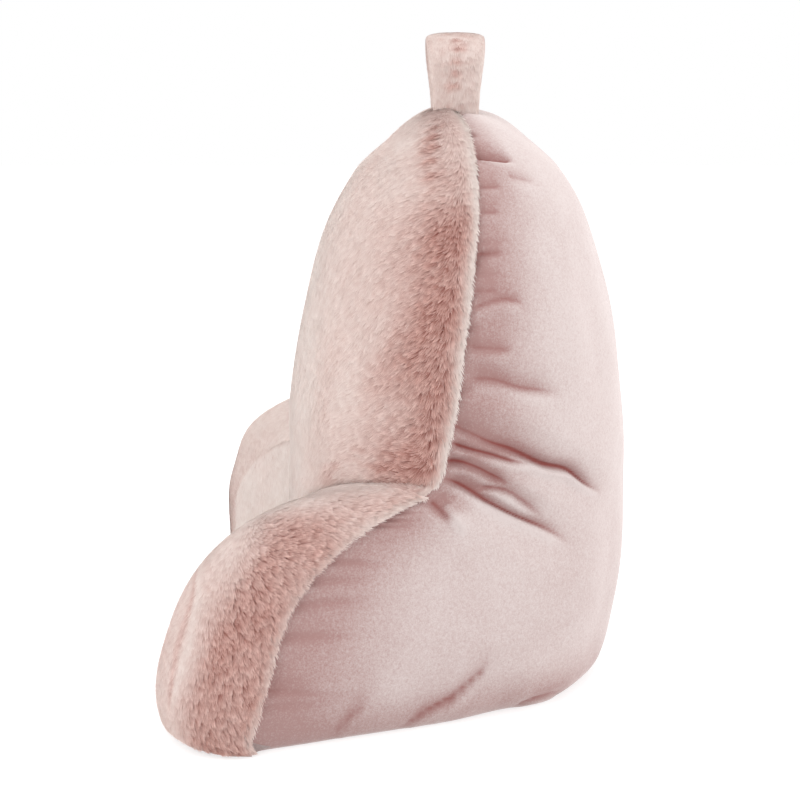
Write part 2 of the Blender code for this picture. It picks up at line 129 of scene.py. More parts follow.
# The arm band beside each row above: its inner seam, the way it swells, and how far at either edge
BAND = (
    (0.200, -0.229, 0.000, 0.25, -0.97, 0.00, 0.050, 0.018),
    (0.196, -0.235, 0.040, 0.22, -0.95, 0.00, 0.080, 0.018),
    (0.188, -0.213, 0.097, 0.12, -0.66, 0.70, 0.079, 0.028),
    (0.166, -0.171, 0.138, 0.02, -0.24, 0.96, 0.052, 0.022),
    (0.144, -0.147, 0.156, -0.04, -0.04, 1.00, 0.022, 0.014),
)
CORNER_SWELL = (0.00, 0.00, 1.00, 0.010, 0.010)

# The main folds as broad troughs: round and height at their start, middle and end, depth, half width
Fold = namedtuple("Fold", "round_1 level_1 round_2 level_2 round_3 level_3 depth half")
FOLDS = (
    Fold(0.01, 0.250, 0.26, 0.219, 0.64, 0.172, 0.0080, 0.027),
    Fold(0.01, 0.207, 0.26, 0.177, 0.55, 0.132, 0.0075, 0.027),
    Fold(0.01, 0.220, 0.14, 0.205, 0.24, 0.195, 0.0035, 0.018),
    Fold(0.12, 0.198, 0.31, 0.179, 0.42, 0.163, 0.0025, 0.018),
    Fold(0.03, 0.287, 0.19, 0.280, 0.38, 0.268, 0.0040, 0.022),
    Fold(0.01, 0.459, 0.15, 0.458, 0.32, 0.455, 0.0045, 0.021),
    Fold(0.32, 0.014, 0.36, 0.038, 0.40, 0.056, 0.0040, 0.021),
)
SEAM_HOLD = 0.04  # share of the way round over which the seam holds the folds flat
FOLD_FADE = 0.12  # where on its sine a fold's depth starts
FOLD_BLEND = 0.006  # length over which that depth is averaged along the fold
CURVE_STEPS = 100
LEVEL_STEPS = 400

# The sharp creases in the cloth: depth, half width, height of the lip below it, its path as (share of the
# seam, share of the way round), and the share of that path over which it deepens
Crease = namedtuple("Crease", "depth half lip path wake", defaults=(0.10,))
CREASES = (
    Crease(0.0050, 0.0050, 0.0016, ((0.815, 0.000), (0.811, 0.150), (0.807, 0.320))),
    Crease(0.0016, 0.0040, 0.0006, ((0.759, 0.013), (0.759, 0.150))),
    Crease(0.0012, 0.0070, 0.0004, ((0.777, 0.195), (0.765, 0.385))),
    Crease(0.0014, 0.0045, 0.0005, ((0.724, 0.015), (0.724, 0.125))),
    Crease(0.0012, 0.0045, 0.0005, ((0.671, 0.020), (0.671, 0.130))),
    Crease(0.0014, 0.0045, 0.0005, ((0.625, 0.018), (0.625, 0.118))),
    Crease(0.0020, 0.0050, 0.0008, ((0.605, 0.025), (0.614, 0.158), (0.605, 0.235))),
    Crease(0.0016, 0.0055, 0.0006, ((0.560, 0.022), (0.554, 0.190))),
    Crease(
        0.0022,
        0.0060,
        0.0010,
        ((0.524, 0.037), (0.522, 0.125), (0.514, 0.190), (0.505, 0.295), (0.495, 0.378)),
    ),
    Crease(
        0.0068,
        0.0046,
        0.0034,
        ((0.466, 0.020), (0.459, 0.058), (0.448, 0.113), (0.438, 0.175), (0.426, 0.238), (0.411, 0.318))
        + ((0.398, 0.408), (0.367, 0.500), (0.311, 0.640)),
        0.45,
    ),
    Crease(
        0.0046,
        0.0040,
        0.0018,
        ((0.448, 0.007), (0.440, 0.062), (0.434, 0.115), (0.425, 0.177), (0.415, 0.260)),
    ),
    Crease(0.0038, 0.0042, 0.0016, ((0.425, 0.005), (0.419, 0.068), (0.402, 0.140), (0.385, 0.212))),
    Crease(
        0.0046,
        0.0046,
        0.0024,
        ((0.405, 0.010), (0.394, 0.062), (0.370, 0.140), (0.328, 0.255), (0.290, 0.355), (0.259, 0.443))
        + ((0.216, 0.552),),
    ),
    Crease(0.0028, 0.0048, 0.0016, ((0.388, 0.118), (0.378, 0.190), (0.334, 0.315), (0.284, 0.420))),
    Crease(0.0032, 0.0056, 0.0008, ((0.367, 0.028), (0.335, 0.105), (0.305, 0.165))),
    Crease(-0.0034, 0.0038, 0.0000, ((0.356, 0.077), (0.305, 0.170), (0.266, 0.228))),
    Crease(0.0030, 0.0060, 0.0010, ((0.007, 0.263), (0.021, 0.288), (0.039, 0.343))),
    Crease(0.0024, 0.0060, 0.0010, ((0.025, 0.320), (0.062, 0.365), (0.075, 0.385))),
    Crease(0.0016, 0.0060, 0.0006, ((0.004, 0.135), (0.035, 0.158), (0.044, 0.175))),
    Crease(0.0030, 0.0050, 0.0012, ((0.004, 0.522), (0.014, 0.590), (0.011, 0.633), (0.000, 0.718))),
)
ROUND_LENGTH = 0.33  # of a slice from the seam to the rear middle
LIP_AWAY = 1.35  # of the lip from its crease, in half widths
SLOPE_ABOVE = 1.35  # how far off the cloth sinks towards a crease from above and from below, in half widths
SLOPE_BELOW = 0.72
# the painted shade line along a crease's bottom: its half width, its rise over the crease's path, and the
# crease depth at which it is full
SHADE_LINE_HALF = 0.0012  # of the dark line at a crease's bottom
SHADE_LINE_UP = 0.0004  # of that line over the crease's path
FULL_DEPTH = 0.006  # of a crease whose line is full
DEEPEST = 0.0095  # that a crease can be
STEP = 1e-3  # over which a crease's slope is measured
FAR_SHIFT = 0.014  # the far side's creases lie this much higher on the seam
FAR_SHORTER = 0.86  # and reach this share as far round
PUCKERS = 34  # short gathers along each half seam
HEM = 0.018  # height over which the cloth turns under
HEM_IN = 0.008  # and how far in

# How finely the cover is divided
NOSE_ROWS = 40
ARM_ROWS = 130
BACK_ROWS = 250
BACK_CROWD = 0.42  # above 0 the rows crowd towards the arm
ROUND_COLUMNS = 84
ROUND_CROWD = 1.35  # above 1 the columns crowd towards the seam
UNDER_COLUMNS = 10  # under the pile
# painted sheen and shade of the velvet under the pile
UNDER_SHEEN_AND_SHADE = 0.4  # of the cloth there
MIDDLE_COLUMNS = 8

# The carrying loop
LOOP_HALF = 0.036  # from the middle to the path of a leg
LOOP_RISE = LOOP_BOX[1].z - CROWN
LOOP_THICK = 0.014
LOOP_FOOT_WIDTH = 0.0425
LOOP_TOP_WIDTH = 0.0545
LOOP_CORNER = 0.024  # radius
LOOP_SQUARE = 0.75  # power of its section, below 1 for squarer than round
LOOP_SINK = 0.004  # of its feet below the crown
LOOP_FORWARD = 0.0007  # of the loop before the crown
LOOP_STEPS = 14  # along a corner
LOOP_SIDES = 32  # of its section
CORE_SHARE = 0.76  # of the loop's thickness that is strap, not pile

# The pile
FLOOR_CLEAR = 0.0012
BACKING = 0.0048  # of the pile's depth, below the locks' roots
ROOT_DROP = 0.0008  # of the roots, below that height
CLOTH_DROP = 0.0017  # of the backing cloth
RIM_WIDTH = 0.010  # over which it thins to a panel's edge
PLAIN_LOCK = 0.0090  # the lock length for which the next ones are given
FRONT_LOCK = 0.0092  # above the arms
BETWEEN_LOCK = 0.0085  # between them
ARM_LOCK = 0.0088
FRONT_FRINGE = 0.0042  # in the fringes
ARM_FRINGE = 0.0044
FRINGE_WIDTH = 0.006  # of the strip of locks along a seam
FRINGE_LIFT = 0.24
FIRST_ROOTS = 0.0008  # of the fringe, above the seam
FRONT_STOP = 0.992  # place on the seam where the front's rows stop, short of the crown's middle
FOOT_START = 0.003  # the backing starts as if it lay this far in, between the arms
INNER_START = 0.008  # and at the inner seam
CLOTH_LEAST = 0.0006  # thickness of the backing cloth
CLOTH_UNDER = 0.0003  # of its underside, above the cover
FRONT_SHARES = (1.0, 0.9, 3.0)  # how densely locks stand above the arms, between them and in the fringe
BAND_SHARES = (1.0, 2.4)  # on an arm's band and in its fringe
CELL_SPAN = 4096  # more than the tufts' lattice has cells along an axis

# How finely the panels are divided, under the pile and as backing. Front: rows above the arms, columns over
# the arm's end and over the middle, rows between the arms. Band: rows of the nose and of the top, columns.
# Inner face: columns, rows.
PILE_FRONT, SLAB_FRONT = (150, 40, 34, 44), (90, 18, 14, 20)
PILE_BAND, SLAB_BAND = (50, 80, 60), (24, 40, 24)
PILE_INNER, SLAB_INNER = (50, 40), (24, 16)

# The studio: the lamps' sizes and places, and the floor
LAMPS = (("key", 1.6, (1.25, -1.45, 1.2)), ("rim", 1.6, (0.5, 1.8, 0.9)), ("top", 1.8, (0.0, 0.0, 2.2)))
LAMP_AIM = (0.0, 0.0, 0.22)
FLOOR_SPAN = 12.0
FLOOR_DROP = 0.0004
FLOOR_GLOW = 0.64
WHITE = (1.0, 1.0, 1.0, 1.0)
SENSOR = 36.0  # millimetres


def spline(knots, rows, at):
    """Natural cubic spline through the rows, one for each knot, read at any places."""
    knots, rows = np.asarray(knots, float), np.asarray(rows, float)
    step = np.diff(knots)
    count = len(knots)
    matrix, right = np.eye(count), np.zeros_like(rows)
    for i in range(1, count - 1):
        matrix[i, i - 1 : i + 2] = step[i - 1], 2 * (step[i - 1] + step[i]), step[i]
        right[i] = 6 * ((rows[i + 1] - rows[i]) / step[i] - (rows[i] - rows[i - 1]) / step[i - 1])
    bend = np.linalg.solve(matrix, right)
    at = np.asarray(at, float)
    i = np.clip(np.searchsorted(knots, at) - 1, 0, count - 2)
    width = step[i][..., None]
    past = (at - knots[i])[..., None]
    left = width - past
    curve = (bend[i] * left**3 + bend[i + 1] * past**3) / (6 * width)
    return curve + (rows[i] / width - bend[i] * width / 6) * left + (
        rows[i + 1] / width - bend[i + 1] * width / 6
    ) * past


def even_steps(count):
    """0 to 1 in this many equal steps."""
    return np.linspace(0, 1, count + 1)


def cubic(a, b, c, d, t):
    """Bezier cubic from a to d with handles b and c."""
    r = 1 - t
    return r**3 * a + 3 * r * r * t * b + 3 * r * t * t * c + t**3 * d


def rounded(share, power):
    """Height of a superellipse's edge at this share of its half width."""
    inside = np.clip(1 - np.clip(np.abs(share), 0, 1) ** power, 0, 1)
    return inside ** (1 / power)


def eased(share):
    """0 to 1 with level ends: 3s^2 - 2s^3."""
    share = np.clip(share, 0, 1)
    return share * share * (3 - 2 * share)


def ramp(value, start, width):
    """Eased climb from 0, where the value is at the start, to 1 a width further on."""
    return eased((value - start) / width)


def bell(value, middle, half):
    """Bell curve: exp(-((value - middle) / half)^2)."""
    return np.exp(-(((value - middle) / half) ** 2))


def unit(vectors):
    """The vectors, each divided by its length."""
    return vectors / np.maximum(np.linalg.norm(vectors, axis=-1, keepdims=True), 1e-12)


def dot(a, b):
    """Sum of the products of their parts."""
    return (a * b).sum(-1, keepdims=True)


def waves(points, pitch, seed):
    """Soft unevenness from about -1 to 1: the mean of some sine waves that cross the points in random
    directions, each about a pitch long."""
    rng = np.random.default_rng(seed)
    ways = unit(rng.normal(size=(WAVES, 3))) * (rng.uniform(0.7, 1.4, (WAVES, 1)) * 2 * np.pi / pitch)
    return np.sin(points @ ways.T + rng.uniform(0, 2 * np.pi, WAVES)).mean(-1) * 1.8


def lean(level):
    """Y of the side seam at this height, by a spline through its table."""
    table = np.array(LEAN)
    return spline(table[:, 0], table[:, 1:], level)[..., 0]


def half_width(level):
    """The back's half width: straight sides, then a superellipse arch up to the crown."""
    return HALF_WIDTH * rounded(np.clip(level - ARCH_FROM, 0, None) / (CROWN - ARCH_FROM), ARCH_POWER)


def reach(level, most, foot, power):
    """Profile of the back's middle: a dome above the waist, drawn in to the foot below it."""
    dome = most * rounded((level - WAIST) / (CROWN - WAIST), power)
    drawn = most - (most - foot) * np.clip((WAIST - level) / WAIST, 0, 1) ** FOOT_POWER
    return np.where(level > WAIST, dome, drawn)


def rear_reach(level):
    """Y of the rear's middle at this height."""
    return reach(level, REAR_REACH, REAR_FOOT, REAR_DOME)


def front_surface(x, level):
    """Y of the back's front at this x and height: a superellipse slice between the side seams."""
    seam = lean(level)
    swell = seam + reach(level, FRONT_REACH, FRONT_FOOT, FRONT_DOME)
    return seam - swell * rounded(x / np.maximum(half_width(level), 1e-9), SLICE_POWER)


def on_front(x, level):
    """The point of the back's front at this x and height."""
    return np.stack([x, front_surface(x, level), level], -1)


def seam_rows():
    """Rows of the whole half seam: the arm's table, the corner, the side, then the arch by formula."""
    rows = list(ARM)
    rows.append((HALF_WIDTH, float(lean(CORNER_LEVEL)), CORNER_LEVEL) + CORNER_SLICE)
    rows.append((HALF_WIDTH, float(lean(SIDE_LEVEL)), SIDE_LEVEL) + SIDE_SLICE)
    for level in ARCH_LEVELS:
        half, behind = float(half_width(level)), float(lean(level))
        turn = QUARTER * ARCH_FULLNESS
        flare = ARCH_FLARE * min(1.0, (level - SIDE_LEVEL) / FLARE_RISE)
        rows.append((half, behind, level, flare, turn * (float(rear_reach(level)) - behind), turn * half))
    return np.array(rows)


SEAM = seam_rows()
SEAM_AT = np.concatenate([[0], np.cumsum(np.linalg.norm(np.diff(SEAM[:, :3], axis=0), axis=1))])
SEAM_LENGTH = SEAM_AT[-1]
SEAM_AT = SEAM_AT / SEAM_LENGTH
CORNER = SEAM_AT[len(ARM)]


def seam_point(v):
    """Point of the half seam at this share of its length."""
    return spline(SEAM_AT, SEAM[:, :3], v)


def velvet_surface(v, t):
    """Velvet: v climbs the seam, t runs level from the seam (0) round to the rear middle (1), each slice
    a cubic that leaves the seam rearwards and arrives square to the middle."""
    row = spline(SEAM_AT, SEAM, v)
    x, y, z, flare, leave, arrive = np.moveaxis(row, -1, 0)
    back = rear_reach(z)
    length = np.sqrt(1 + flare**2)
    across = cubic(x, x + flare / length * leave, arrive, 0 * x, t)
    along = cubic(y, y + leave / length, back, back, t)
    return np.stack([across, along, z + 0 * t], -1)


def corner_line(q):
    """Where the arm's inner face meets the back, from the floor (0) to the arm's top (1)."""
    level = INNER_LEVEL * q
    across = INNER_HALF + 0 * level
    return on_front(across, level)


BAND_TABLE = np.vstack([np.array(BAND), np.concatenate([corner_line(np.ones(1))[0], CORNER_SWELL])])


def inner_seam(v):
    """Point of the band's inner seam beside that place on the outer one."""
    return spline(SEAM_AT[: len(BAND_TABLE)], BAND_TABLE[:, :3], v)


def band_end(w):
    """The curve on the back's front where the band stops, from the side seam (0) to the inner corner (1)."""
    start = np.pi / 2
    stop = np.arcsin((INNER_HALF / HALF_WIDTH) ** (SLICE_POWER / 2))
    across = HALF_WIDTH * np.sin(start + (stop - start) * w) ** (2 / SLICE_POWER)
    level = CORNER_LEVEL + (INNER_LEVEL - CORNER_LEVEL) * w + END_CROWN * 4 * w * (1 - w)
    return on_front(across, level)


def swelling(v, w):
    """The band before it is fitted to the back: a cubic arch from the outer to the inner seam."""
    outer, inner = seam_point(v), inner_seam(v)
    swell = spline(SEAM_AT[: len(BAND_TABLE)], BAND_TABLE[:, 3:], v)
    way = unit(swell[..., :3])
    tuck = (inner - outer) * TUCK
    return cubic(
        outer, outer + tuck + way * swell[..., 3:4], inner - tuck + way * swell[..., 4:5], inner, w[..., None]
    )


def band_surface(v, w):
    """Arm band: v as on the seam, w from the outer seam (0) to the inner seam (1)."""
    fitted = ramp(v / CORNER, END_FADE, 1 - END_FADE)[..., None]
    end = band_end(w) - swelling(np.full_like(w, CORNER), w)
    return swelling(v, w) + fitted * end


def inner_surface(p, q):
    """Arm's inner face, blended from its four edges: p from the back (0) to the nose (1), q from the
    floor up."""
    p3, q3 = p[..., None], q[..., None]
    at_back, at_nose = corner_line(q), inner_seam(q * KNEE)
    on_top = inner_seam(CORNER + (KNEE - CORNER) * p)
    back_foot, nose_foot = corner_line(np.zeros(1))[0], inner_seam(np.zeros(1))[0]
    back_top, nose_top = corner_line(np.ones(1))[0], inner_seam(np.full(1, KNEE))[0]
    on_floor = back_foot + (nose_foot - back_foot) * p3
    on_floor = on_floor - INNER_SWELL * 2 * p3 * (1 - p3) * [1, 0, 0]
    corners = (1 - p3) * ((1 - q3) * back_foot + q3 * back_top) + p3 * ((1 - q3) * nose_foot + q3 * nose_top)
    face = (1 - p3) * at_back + p3 * at_nose + (1 - q3) * on_floor + q3 * on_top - corners
    return face - INNER_SWELL * 16 * p3 * (1 - p3) * q3 * (1 - q3) * [1, 0, 0]


def front_grid(back, band_columns, middle_columns):
    """Front of the back above the arms: a row for each seam place in back, from the side seam to the
    middle. The first row lies on the band's end and the rows turn level as they climb."""
    stop = np.arcsin((INNER_HALF / HALF_WIDTH) ** (SLICE_POWER / 2))
    turn = np.linspace(stop, np.pi / 2, band_columns + 1)
    middle = np.arcsin((even_steps(middle_columns) * INNER_HALF / HALF_WIDTH) ** (SLICE_POWER / 2))
    turn = np.concatenate([middle[:-1], turn])
    share = np.sin(turn) ** (2 / SLICE_POWER)
    first = np.full(len(turn), INNER_LEVEL)
    first[middle_columns:] = band_end(np.linspace(1, 0, band_columns + 1))[:, 2]
    level = seam_point(back)[:, 2:]
    kept = 1 - ramp(back, CORNER, ROW_FADE * (1 - CORNER))[:, None]
    levels = level + (first - CORNER_LEVEL) * kept
    across = share * half_width(levels)
    right = on_front(across, levels)
    right[:, -1] = seam_point(back)
    return right[:, ::-1]


def foot_grid(top_row, rows):
    """Front of the back between the arms, from the floor up to the row above."""
    x, level = top_row[:, 0], top_row[:, 2]
    levels = even_steps(rows)[:, None] * level
    return on_front(x + 0 * levels, levels)


def grid(surface, us, vs):
    """Points of a surface at every pair of these places."""
    u, v = np.meshgrid(us, vs, indexing="ij")
    return surface(u, v)


def normals_of(points, side):
    """Outward unit normals of a grid: its steps up the rows crossed with its steps along the columns."""
    return unit(np.cross(np.gradient(points, axis=0), np.gradient(points, axis=1))) * side


def pressed(points, t):
    """The velvet with its broad folds: each a soft trough, (1 - (d / half)^2)^2, along a curve through
    three places. Its depth fades as a sine over the curve, averaged there with bell curve weights about
    the nearest place."""
    toward = unit(np.array(HEART) - points)
    share = even_steps(CURVE_STEPS)
    places = np.linspace(0, 1, LEVEL_STEPS)
    levels = seam_point(places)[:, 2]
    for fold in FOLDS:
        way = spline((0.0, 0.5, 1.0), np.array(fold[:6]).reshape(3, 2), share)
        climb = np.interp(way[:, 1], levels, places)
        line = velvet_surface(climb, way[:, 0])
        away = np.linalg.norm(points[..., None, :] - line, axis=-1)
        nearest = away.min(-1, keepdims=True)
        weight = np.exp((nearest**2 - away**2) / (2 * FOLD_BLEND**2))
        fade = np.clip(np.sin(np.pi * (FOLD_FADE + (1 - FOLD_FADE) * share)), 0, 1) ** 0.7
        fade = (weight * fade).sum(-1) / weight.sum(-1)
        trough = np.clip(1 - (nearest[..., 0] / fold.half) ** 2, 0, 1) ** 2
        points = points + toward * (fold.depth * trough * fade * eased(t / SEAM_HOLD))[..., None]
    return points


def creasing(v, t, side):
    """Height of the cloth over its broad form: sharp creases, and short gathers along the seam. Across a
    crease the cloth sinks slowly from above, exp(-(d / a)^1.2), climbs steeply below in half a bell
    curve, and stands in a low lip there, another bell curve. Also gives the painted shade line at its
    bottom, from 0 to about 1."""
    height, line = np.zeros_like(v), np.zeros_like(v)
    for crease in CREASES:
        path = np.array(crease.path)
        start, stop = path[0, 1], path[-1, 1]
        shift = 0.0
        if side < 0:
            stop = start + (stop - start) * FAR_SHORTER
            shift = FAR_SHIFT if path[0, 0] > 0.1 else 0.0
        inside = np.clip(t, start, stop)
        at = spline(path[:, 1], path[:, :1], inside)[..., 0] + shift
        slope = (spline(path[:, 1], path[:, :1], inside + STEP)[..., 0] + shift - at) / STEP
        away = (v - at) * SEAM_LENGTH / np.sqrt(1 + (slope * SEAM_LENGTH / ROUND_LENGTH) ** 2)
        along = (t - start) / (stop - start)
        fade = (0.30 + 0.70 * eased(along / crease.wake)) * eased((1 - along) / 0.35) * eased(t / 0.02)
        if start > 0.03:
            fade = fade * eased((t - start + 0.02) / 0.04)
        above = np.exp(-((np.clip(away, 0, None) / (SLOPE_ABOVE * crease.half)) ** 1.2))
        trough = above * bell(np.clip(away, None, 0), 0, SLOPE_BELOW * crease.half)
        line = np.maximum(line, crease.depth / FULL_DEPTH * fade * bell(away, SHADE_LINE_UP, SHADE_LINE_HALF))
        lip = bell(away, -LIP_AWAY * crease.half, 1.1 * crease.half)
        height += (crease.lip * lip - crease.depth * trough) * fade
    rng = np.random.default_rng(31 if side > 0 else 47)
    for place in np.sort(rng.uniform(0.04, 0.95, PUCKERS)):
        depth, half = rng.uniform(0.0007, 0.0022), rng.uniform(0.0028, 0.0050)
        length, slant = rng.uniform(0.03, 0.11), rng.uniform(-0.12, 0.05)
        away = (v - place - slant * t) * SEAM_LENGTH
        fade = eased(t / 0.008) * bell(t, 0, length)
        height -= depth * bell(away, 0, half) * fade
    sunk = np.clip(-height, 0, None)
    return height + sunk - DEEPEST * np.tanh(sunk / DEEPEST), line


def painted_sheen_and_shade(v, t, level, height):
    """Painted sheen and shade of the velvet, as a paleness: painted shade at the floor and beside the seam,
    less near the crown, painted sheen round the rear where the cloth lies smooth, a painted highlight on what
    stands up and painted shade in the folds."""
    smooth = ramp(t, 0.03, 0.20 + 0.15 * ramp(v, 0.30, 0.15))
    nap = 0.10 + 0.78 * smooth - 0.12 * (1 - ramp(level, 0.05, 0.20)) * smooth
    nap = nap - 0.60 * (1 - eased(level / 0.05)) * (0.4 + 0.6 * smooth) - 0.02 * ramp(level, 0.38, 0.09)
    nap = nap + 0.22 * ramp(v, 0.80, 0.12) * (1 - smooth)
    return nap + np.clip(height / 0.004, -0.5, 0.6) * 0.75


def hemmed(sheet, outward, v):
    """The cover kept above the floor, where its cloth turns under along its outward normals."""
    level = np.where(v == 0, 0.0, np.maximum(sheet[..., 2], 0.0002))
    turned = tucked(level)
    return np.concatenate([sheet[..., :2] - outward[..., :2] * turned[..., None], level[..., None]], -1)


def settled(points):
    """How the filling has settled: both arms a little fuller on top, the far one further forwards at its
    upper front, the near one at its foot, the back fuller below its shoulders and slacker at the crown,
    its rear corners spread at the floor."""
    x, y, z = np.moveaxis(points, -1, 0)
    fore = ramp(-y, 0.01, 0.10)
    # shares of the near and the far arm
    near, far = ramp(x, 0.10, 0.09) * fore, ramp(-x, 0.10, 0.09) * fore
    rise = (0.015 * far + 0.007 * near) * eased(z / 0.14)
    # forwards: the far arm's upper front, with its foot back, the near arm's foot, and the back's chest
    forth = far * (0.017 * ramp(z, 0.10, 0.06) - 0.012 * eased((0.11 - z) / 0.07))
    forth = forth + near * 0.0065 * (1 - ramp(z, 0.02, 0.07)) * eased(z / 0.015)
    chest = 0.0035 * bell(z, 0.395, 0.05) + 0.0032 * ramp(z, 0.19, 0.05)
    chest = chest - 0.0070 * ramp(z, 0.44, 0.03)
    forth = forth + chest * eased(-y / 0.06)
    # the rear is slacker at the crown and fuller just below it, and its corners spread at the floor
    slack = 0.0050 * ramp(z, 0.445, 0.03) - 0.003 * bell(z, 0.42, 0.035)
    back = -slack * ramp(y, 0.02, 0.05)
    heel = 0.014 * ramp(y, 0.03, 0.05) * (1 - ramp(z, 0.005, 0.055))
    heel = heel * np.sign(x) * eased(np.abs(x) / 0.06)
    return points + np.stack([heel, back - forth, rise], -1)


def tucked(level):
    """How far the cloth turns in at this height above the floor: a parabola that ends at the hem's top."""
    return HEM_IN * np.clip(1 - level / HEM, 0, 1) ** 2


def placed(points, side):
    """Points of this side, settled, and set where the frame has them, the crown behind the origin."""
    return settled(points * [side, 1, 1]) + [0, SETBACK, 0]


def seam_places(nose_rows, arm_rows, back_rows):
    """Even places up the nose and the arm, and ones that crowd towards the arm on the back."""
    nose = np.linspace(0, KNEE, nose_rows + 1)
    arm = np.linspace(KNEE, CORNER, arm_rows + 1)[1:]
    share = even_steps(back_rows)
    back = CORNER + (1 - CORNER) * (share + BACK_CROWD * (share**2 - share))
    return nose, arm, back


def grid_faces(rows, columns, first=0, flipped=False):
    """Corner numbers of the quads of a grid, row by row."""
    i, j = np.meshgrid(np.arange(rows - 1), np.arange(columns - 1), indexing="ij")
    a = (i * columns + j).ravel() + first
    quads = np.stack([a, a + columns, a + columns + 1, a + 1], -1)
    return quads[:, ::-1] if flipped else quads


def add_mesh(name, points, faces, material):
    """A mesh object from a point array and a list of face arrays, each of one corner count."""
    data = bpy.data.meshes.new(name)
    data.vertices.add(len(points))
    data.vertices.foreach_set("co", np.ascontiguousarray(points, np.float32).ravel())
    sizes = np.concatenate([np.full(len(part), part.shape[1]) for part in faces])
    corners = np.concatenate([part.ravel() for part in faces])
    data.loops.add(len(corners))
    data.loops.foreach_set("vertex_index", corners.astype(np.int32))
    data.polygons.add(len(sizes))
    data.polygons.foreach_set("loop_start", np.concatenate([[0], np.cumsum(sizes)[:-1]]).astype(np.int32))
    data.polygons.foreach_set("use_smooth", np.full(len(sizes), True))
    data.update(calc_edges=True)
    data.validate()
    data.materials.append(material)
    obj = bpy.data.objects.new(name, data)
    bpy.context.scene.collection.objects.link(obj)
    return obj


def dress(obj, slot, fill, *nodes):
    """Rides on the frame and stands for these nodes, whose parts it hides."""
    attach(obj, "root")
    if nodes:
        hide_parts(*nodes)


def add_values(obj, name, values):
    """One number for each point of a mesh, for its material."""
    layer = obj.data.attributes.new(name, "FLOAT", "POINT")
    layer.data.foreach_set("value", values.astype(np.float32))


def close_up(obj):
    """Merge the grids of a cover along their shared edges, fill its base and turn every face outwards."""
    mesh = bmesh.new()
    mesh.from_mesh(obj.data)
    bmesh.ops.remove_doubles(mesh, verts=mesh.verts, dist=2e-6)
    bmesh.ops.dissolve_degenerate(mesh, edges=mesh.edges, dist=1e-6)
    bmesh.ops.contextual_create(mesh, geom=[edge for edge in mesh.edges if edge.is_boundary])
    if any(edge.is_boundary for edge in mesh.edges):
        raise RuntimeError("the cover isn't closed")
    bmesh.ops.recalc_face_normals(mesh, faces=mesh.faces)
    mesh.to_mesh(obj.data)
    mesh.free()


# Pile: patches of backing and the locks that stand on them

# A grid of roots with the cloth's normals, and how the pile lies, how long, lifted and pale it is, its
# paleness partly painted shade
Patch = namedtuple("Patch", "points normal lay length lift tone")


def distance_along(points, axis):
    """Distance of every grid point from the first row (axis 0) or column (axis 1), along the grid."""
    steps = np.linalg.norm(np.diff(points, axis=axis), axis=-1)
    first = np.zeros_like(np.take(steps, [0], axis=axis))
    return np.concatenate([first, np.cumsum(steps, axis=axis)], axis=axis)


def backing_height(*away):
    """How far the backing stands over the cover: an eased climb with the distance to a panel's edges."""
    nearest = away[0]
    for other in away[1:]:
        nearest = np.minimum(nearest, other)
    return BACKING * (0.30 + 0.70 * eased(nearest / RIM_WIDTH))


def front_sheets(rows, band_columns, middle_columns, foot_rows):
    """The front panel's two grids, above the arms and between them, each with its backing's height."""
    _, _, back = seam_places(1, 1, rows)
    back = back[back < FRONT_STOP]
    upper = front_grid(back, band_columns, middle_columns)
    from_end = distance_along(upper, 0)
    from_end[:, band_columns:] = RIM_WIDTH
    lower = foot_grid(upper[0, band_columns:], foot_rows)
    from_seam = distance_along(upper, 1)
    from_corner = distance_along(lower, 1)
    lower_height = backing_height(from_corner + FOOT_START)
    return back, (upper, backing_height(from_seam, from_end)), (lower, lower_height)


def band_sheet(nose_rows, arm_rows, columns):
    """Places on the seam, the band's grid and the height of its backing."""
    nose, arm, _ = seam_places(nose_rows, arm_rows, 1)
    v = np.concatenate([nose, arm])
    points = grid(band_surface, v, even_steps(columns))
    away, climb = distance_along(points, 1), distance_along(points, 0)
    return v, (points, backing_height(away, away[:, -1:] - away + INNER_START, climb[-1:] - climb))


def inner_sheet(columns, rows):
    """The inner face's grid and the height of its backing."""
    points = grid(inner_surface, even_steps(columns), even_steps(rows))
    away, climb = distance_along(points, 0), distance_along(points, 1)
    return points, backing_height(away, climb[:, -1:] - climb + INNER_START)


def spread(points, *values):
    """Each value over a whole grid."""
    return [np.broadcast_to(value, points.shape[:2]) for value in values]


def patch(sheet, side, angle, length, lift, tone):
    """A sheet of backing with the way its pile lies. The angle turns from down the rows towards up the
    columns."""
    points, height = sheet
    points = placed(points, side)
    normal = normals_of(points, side)
    down = unit(-np.gradient(points, axis=0))
    along = unit(np.gradient(points, axis=1))
    lay = down * np.cos(angle)[..., None] + along * np.sin(angle)[..., None]
    roots = points + normal * (height - ROOT_DROP - tucked(points[..., 2]))[..., None]
    return Patch(roots, normal, lay, *spread(points, length, lift, tone))


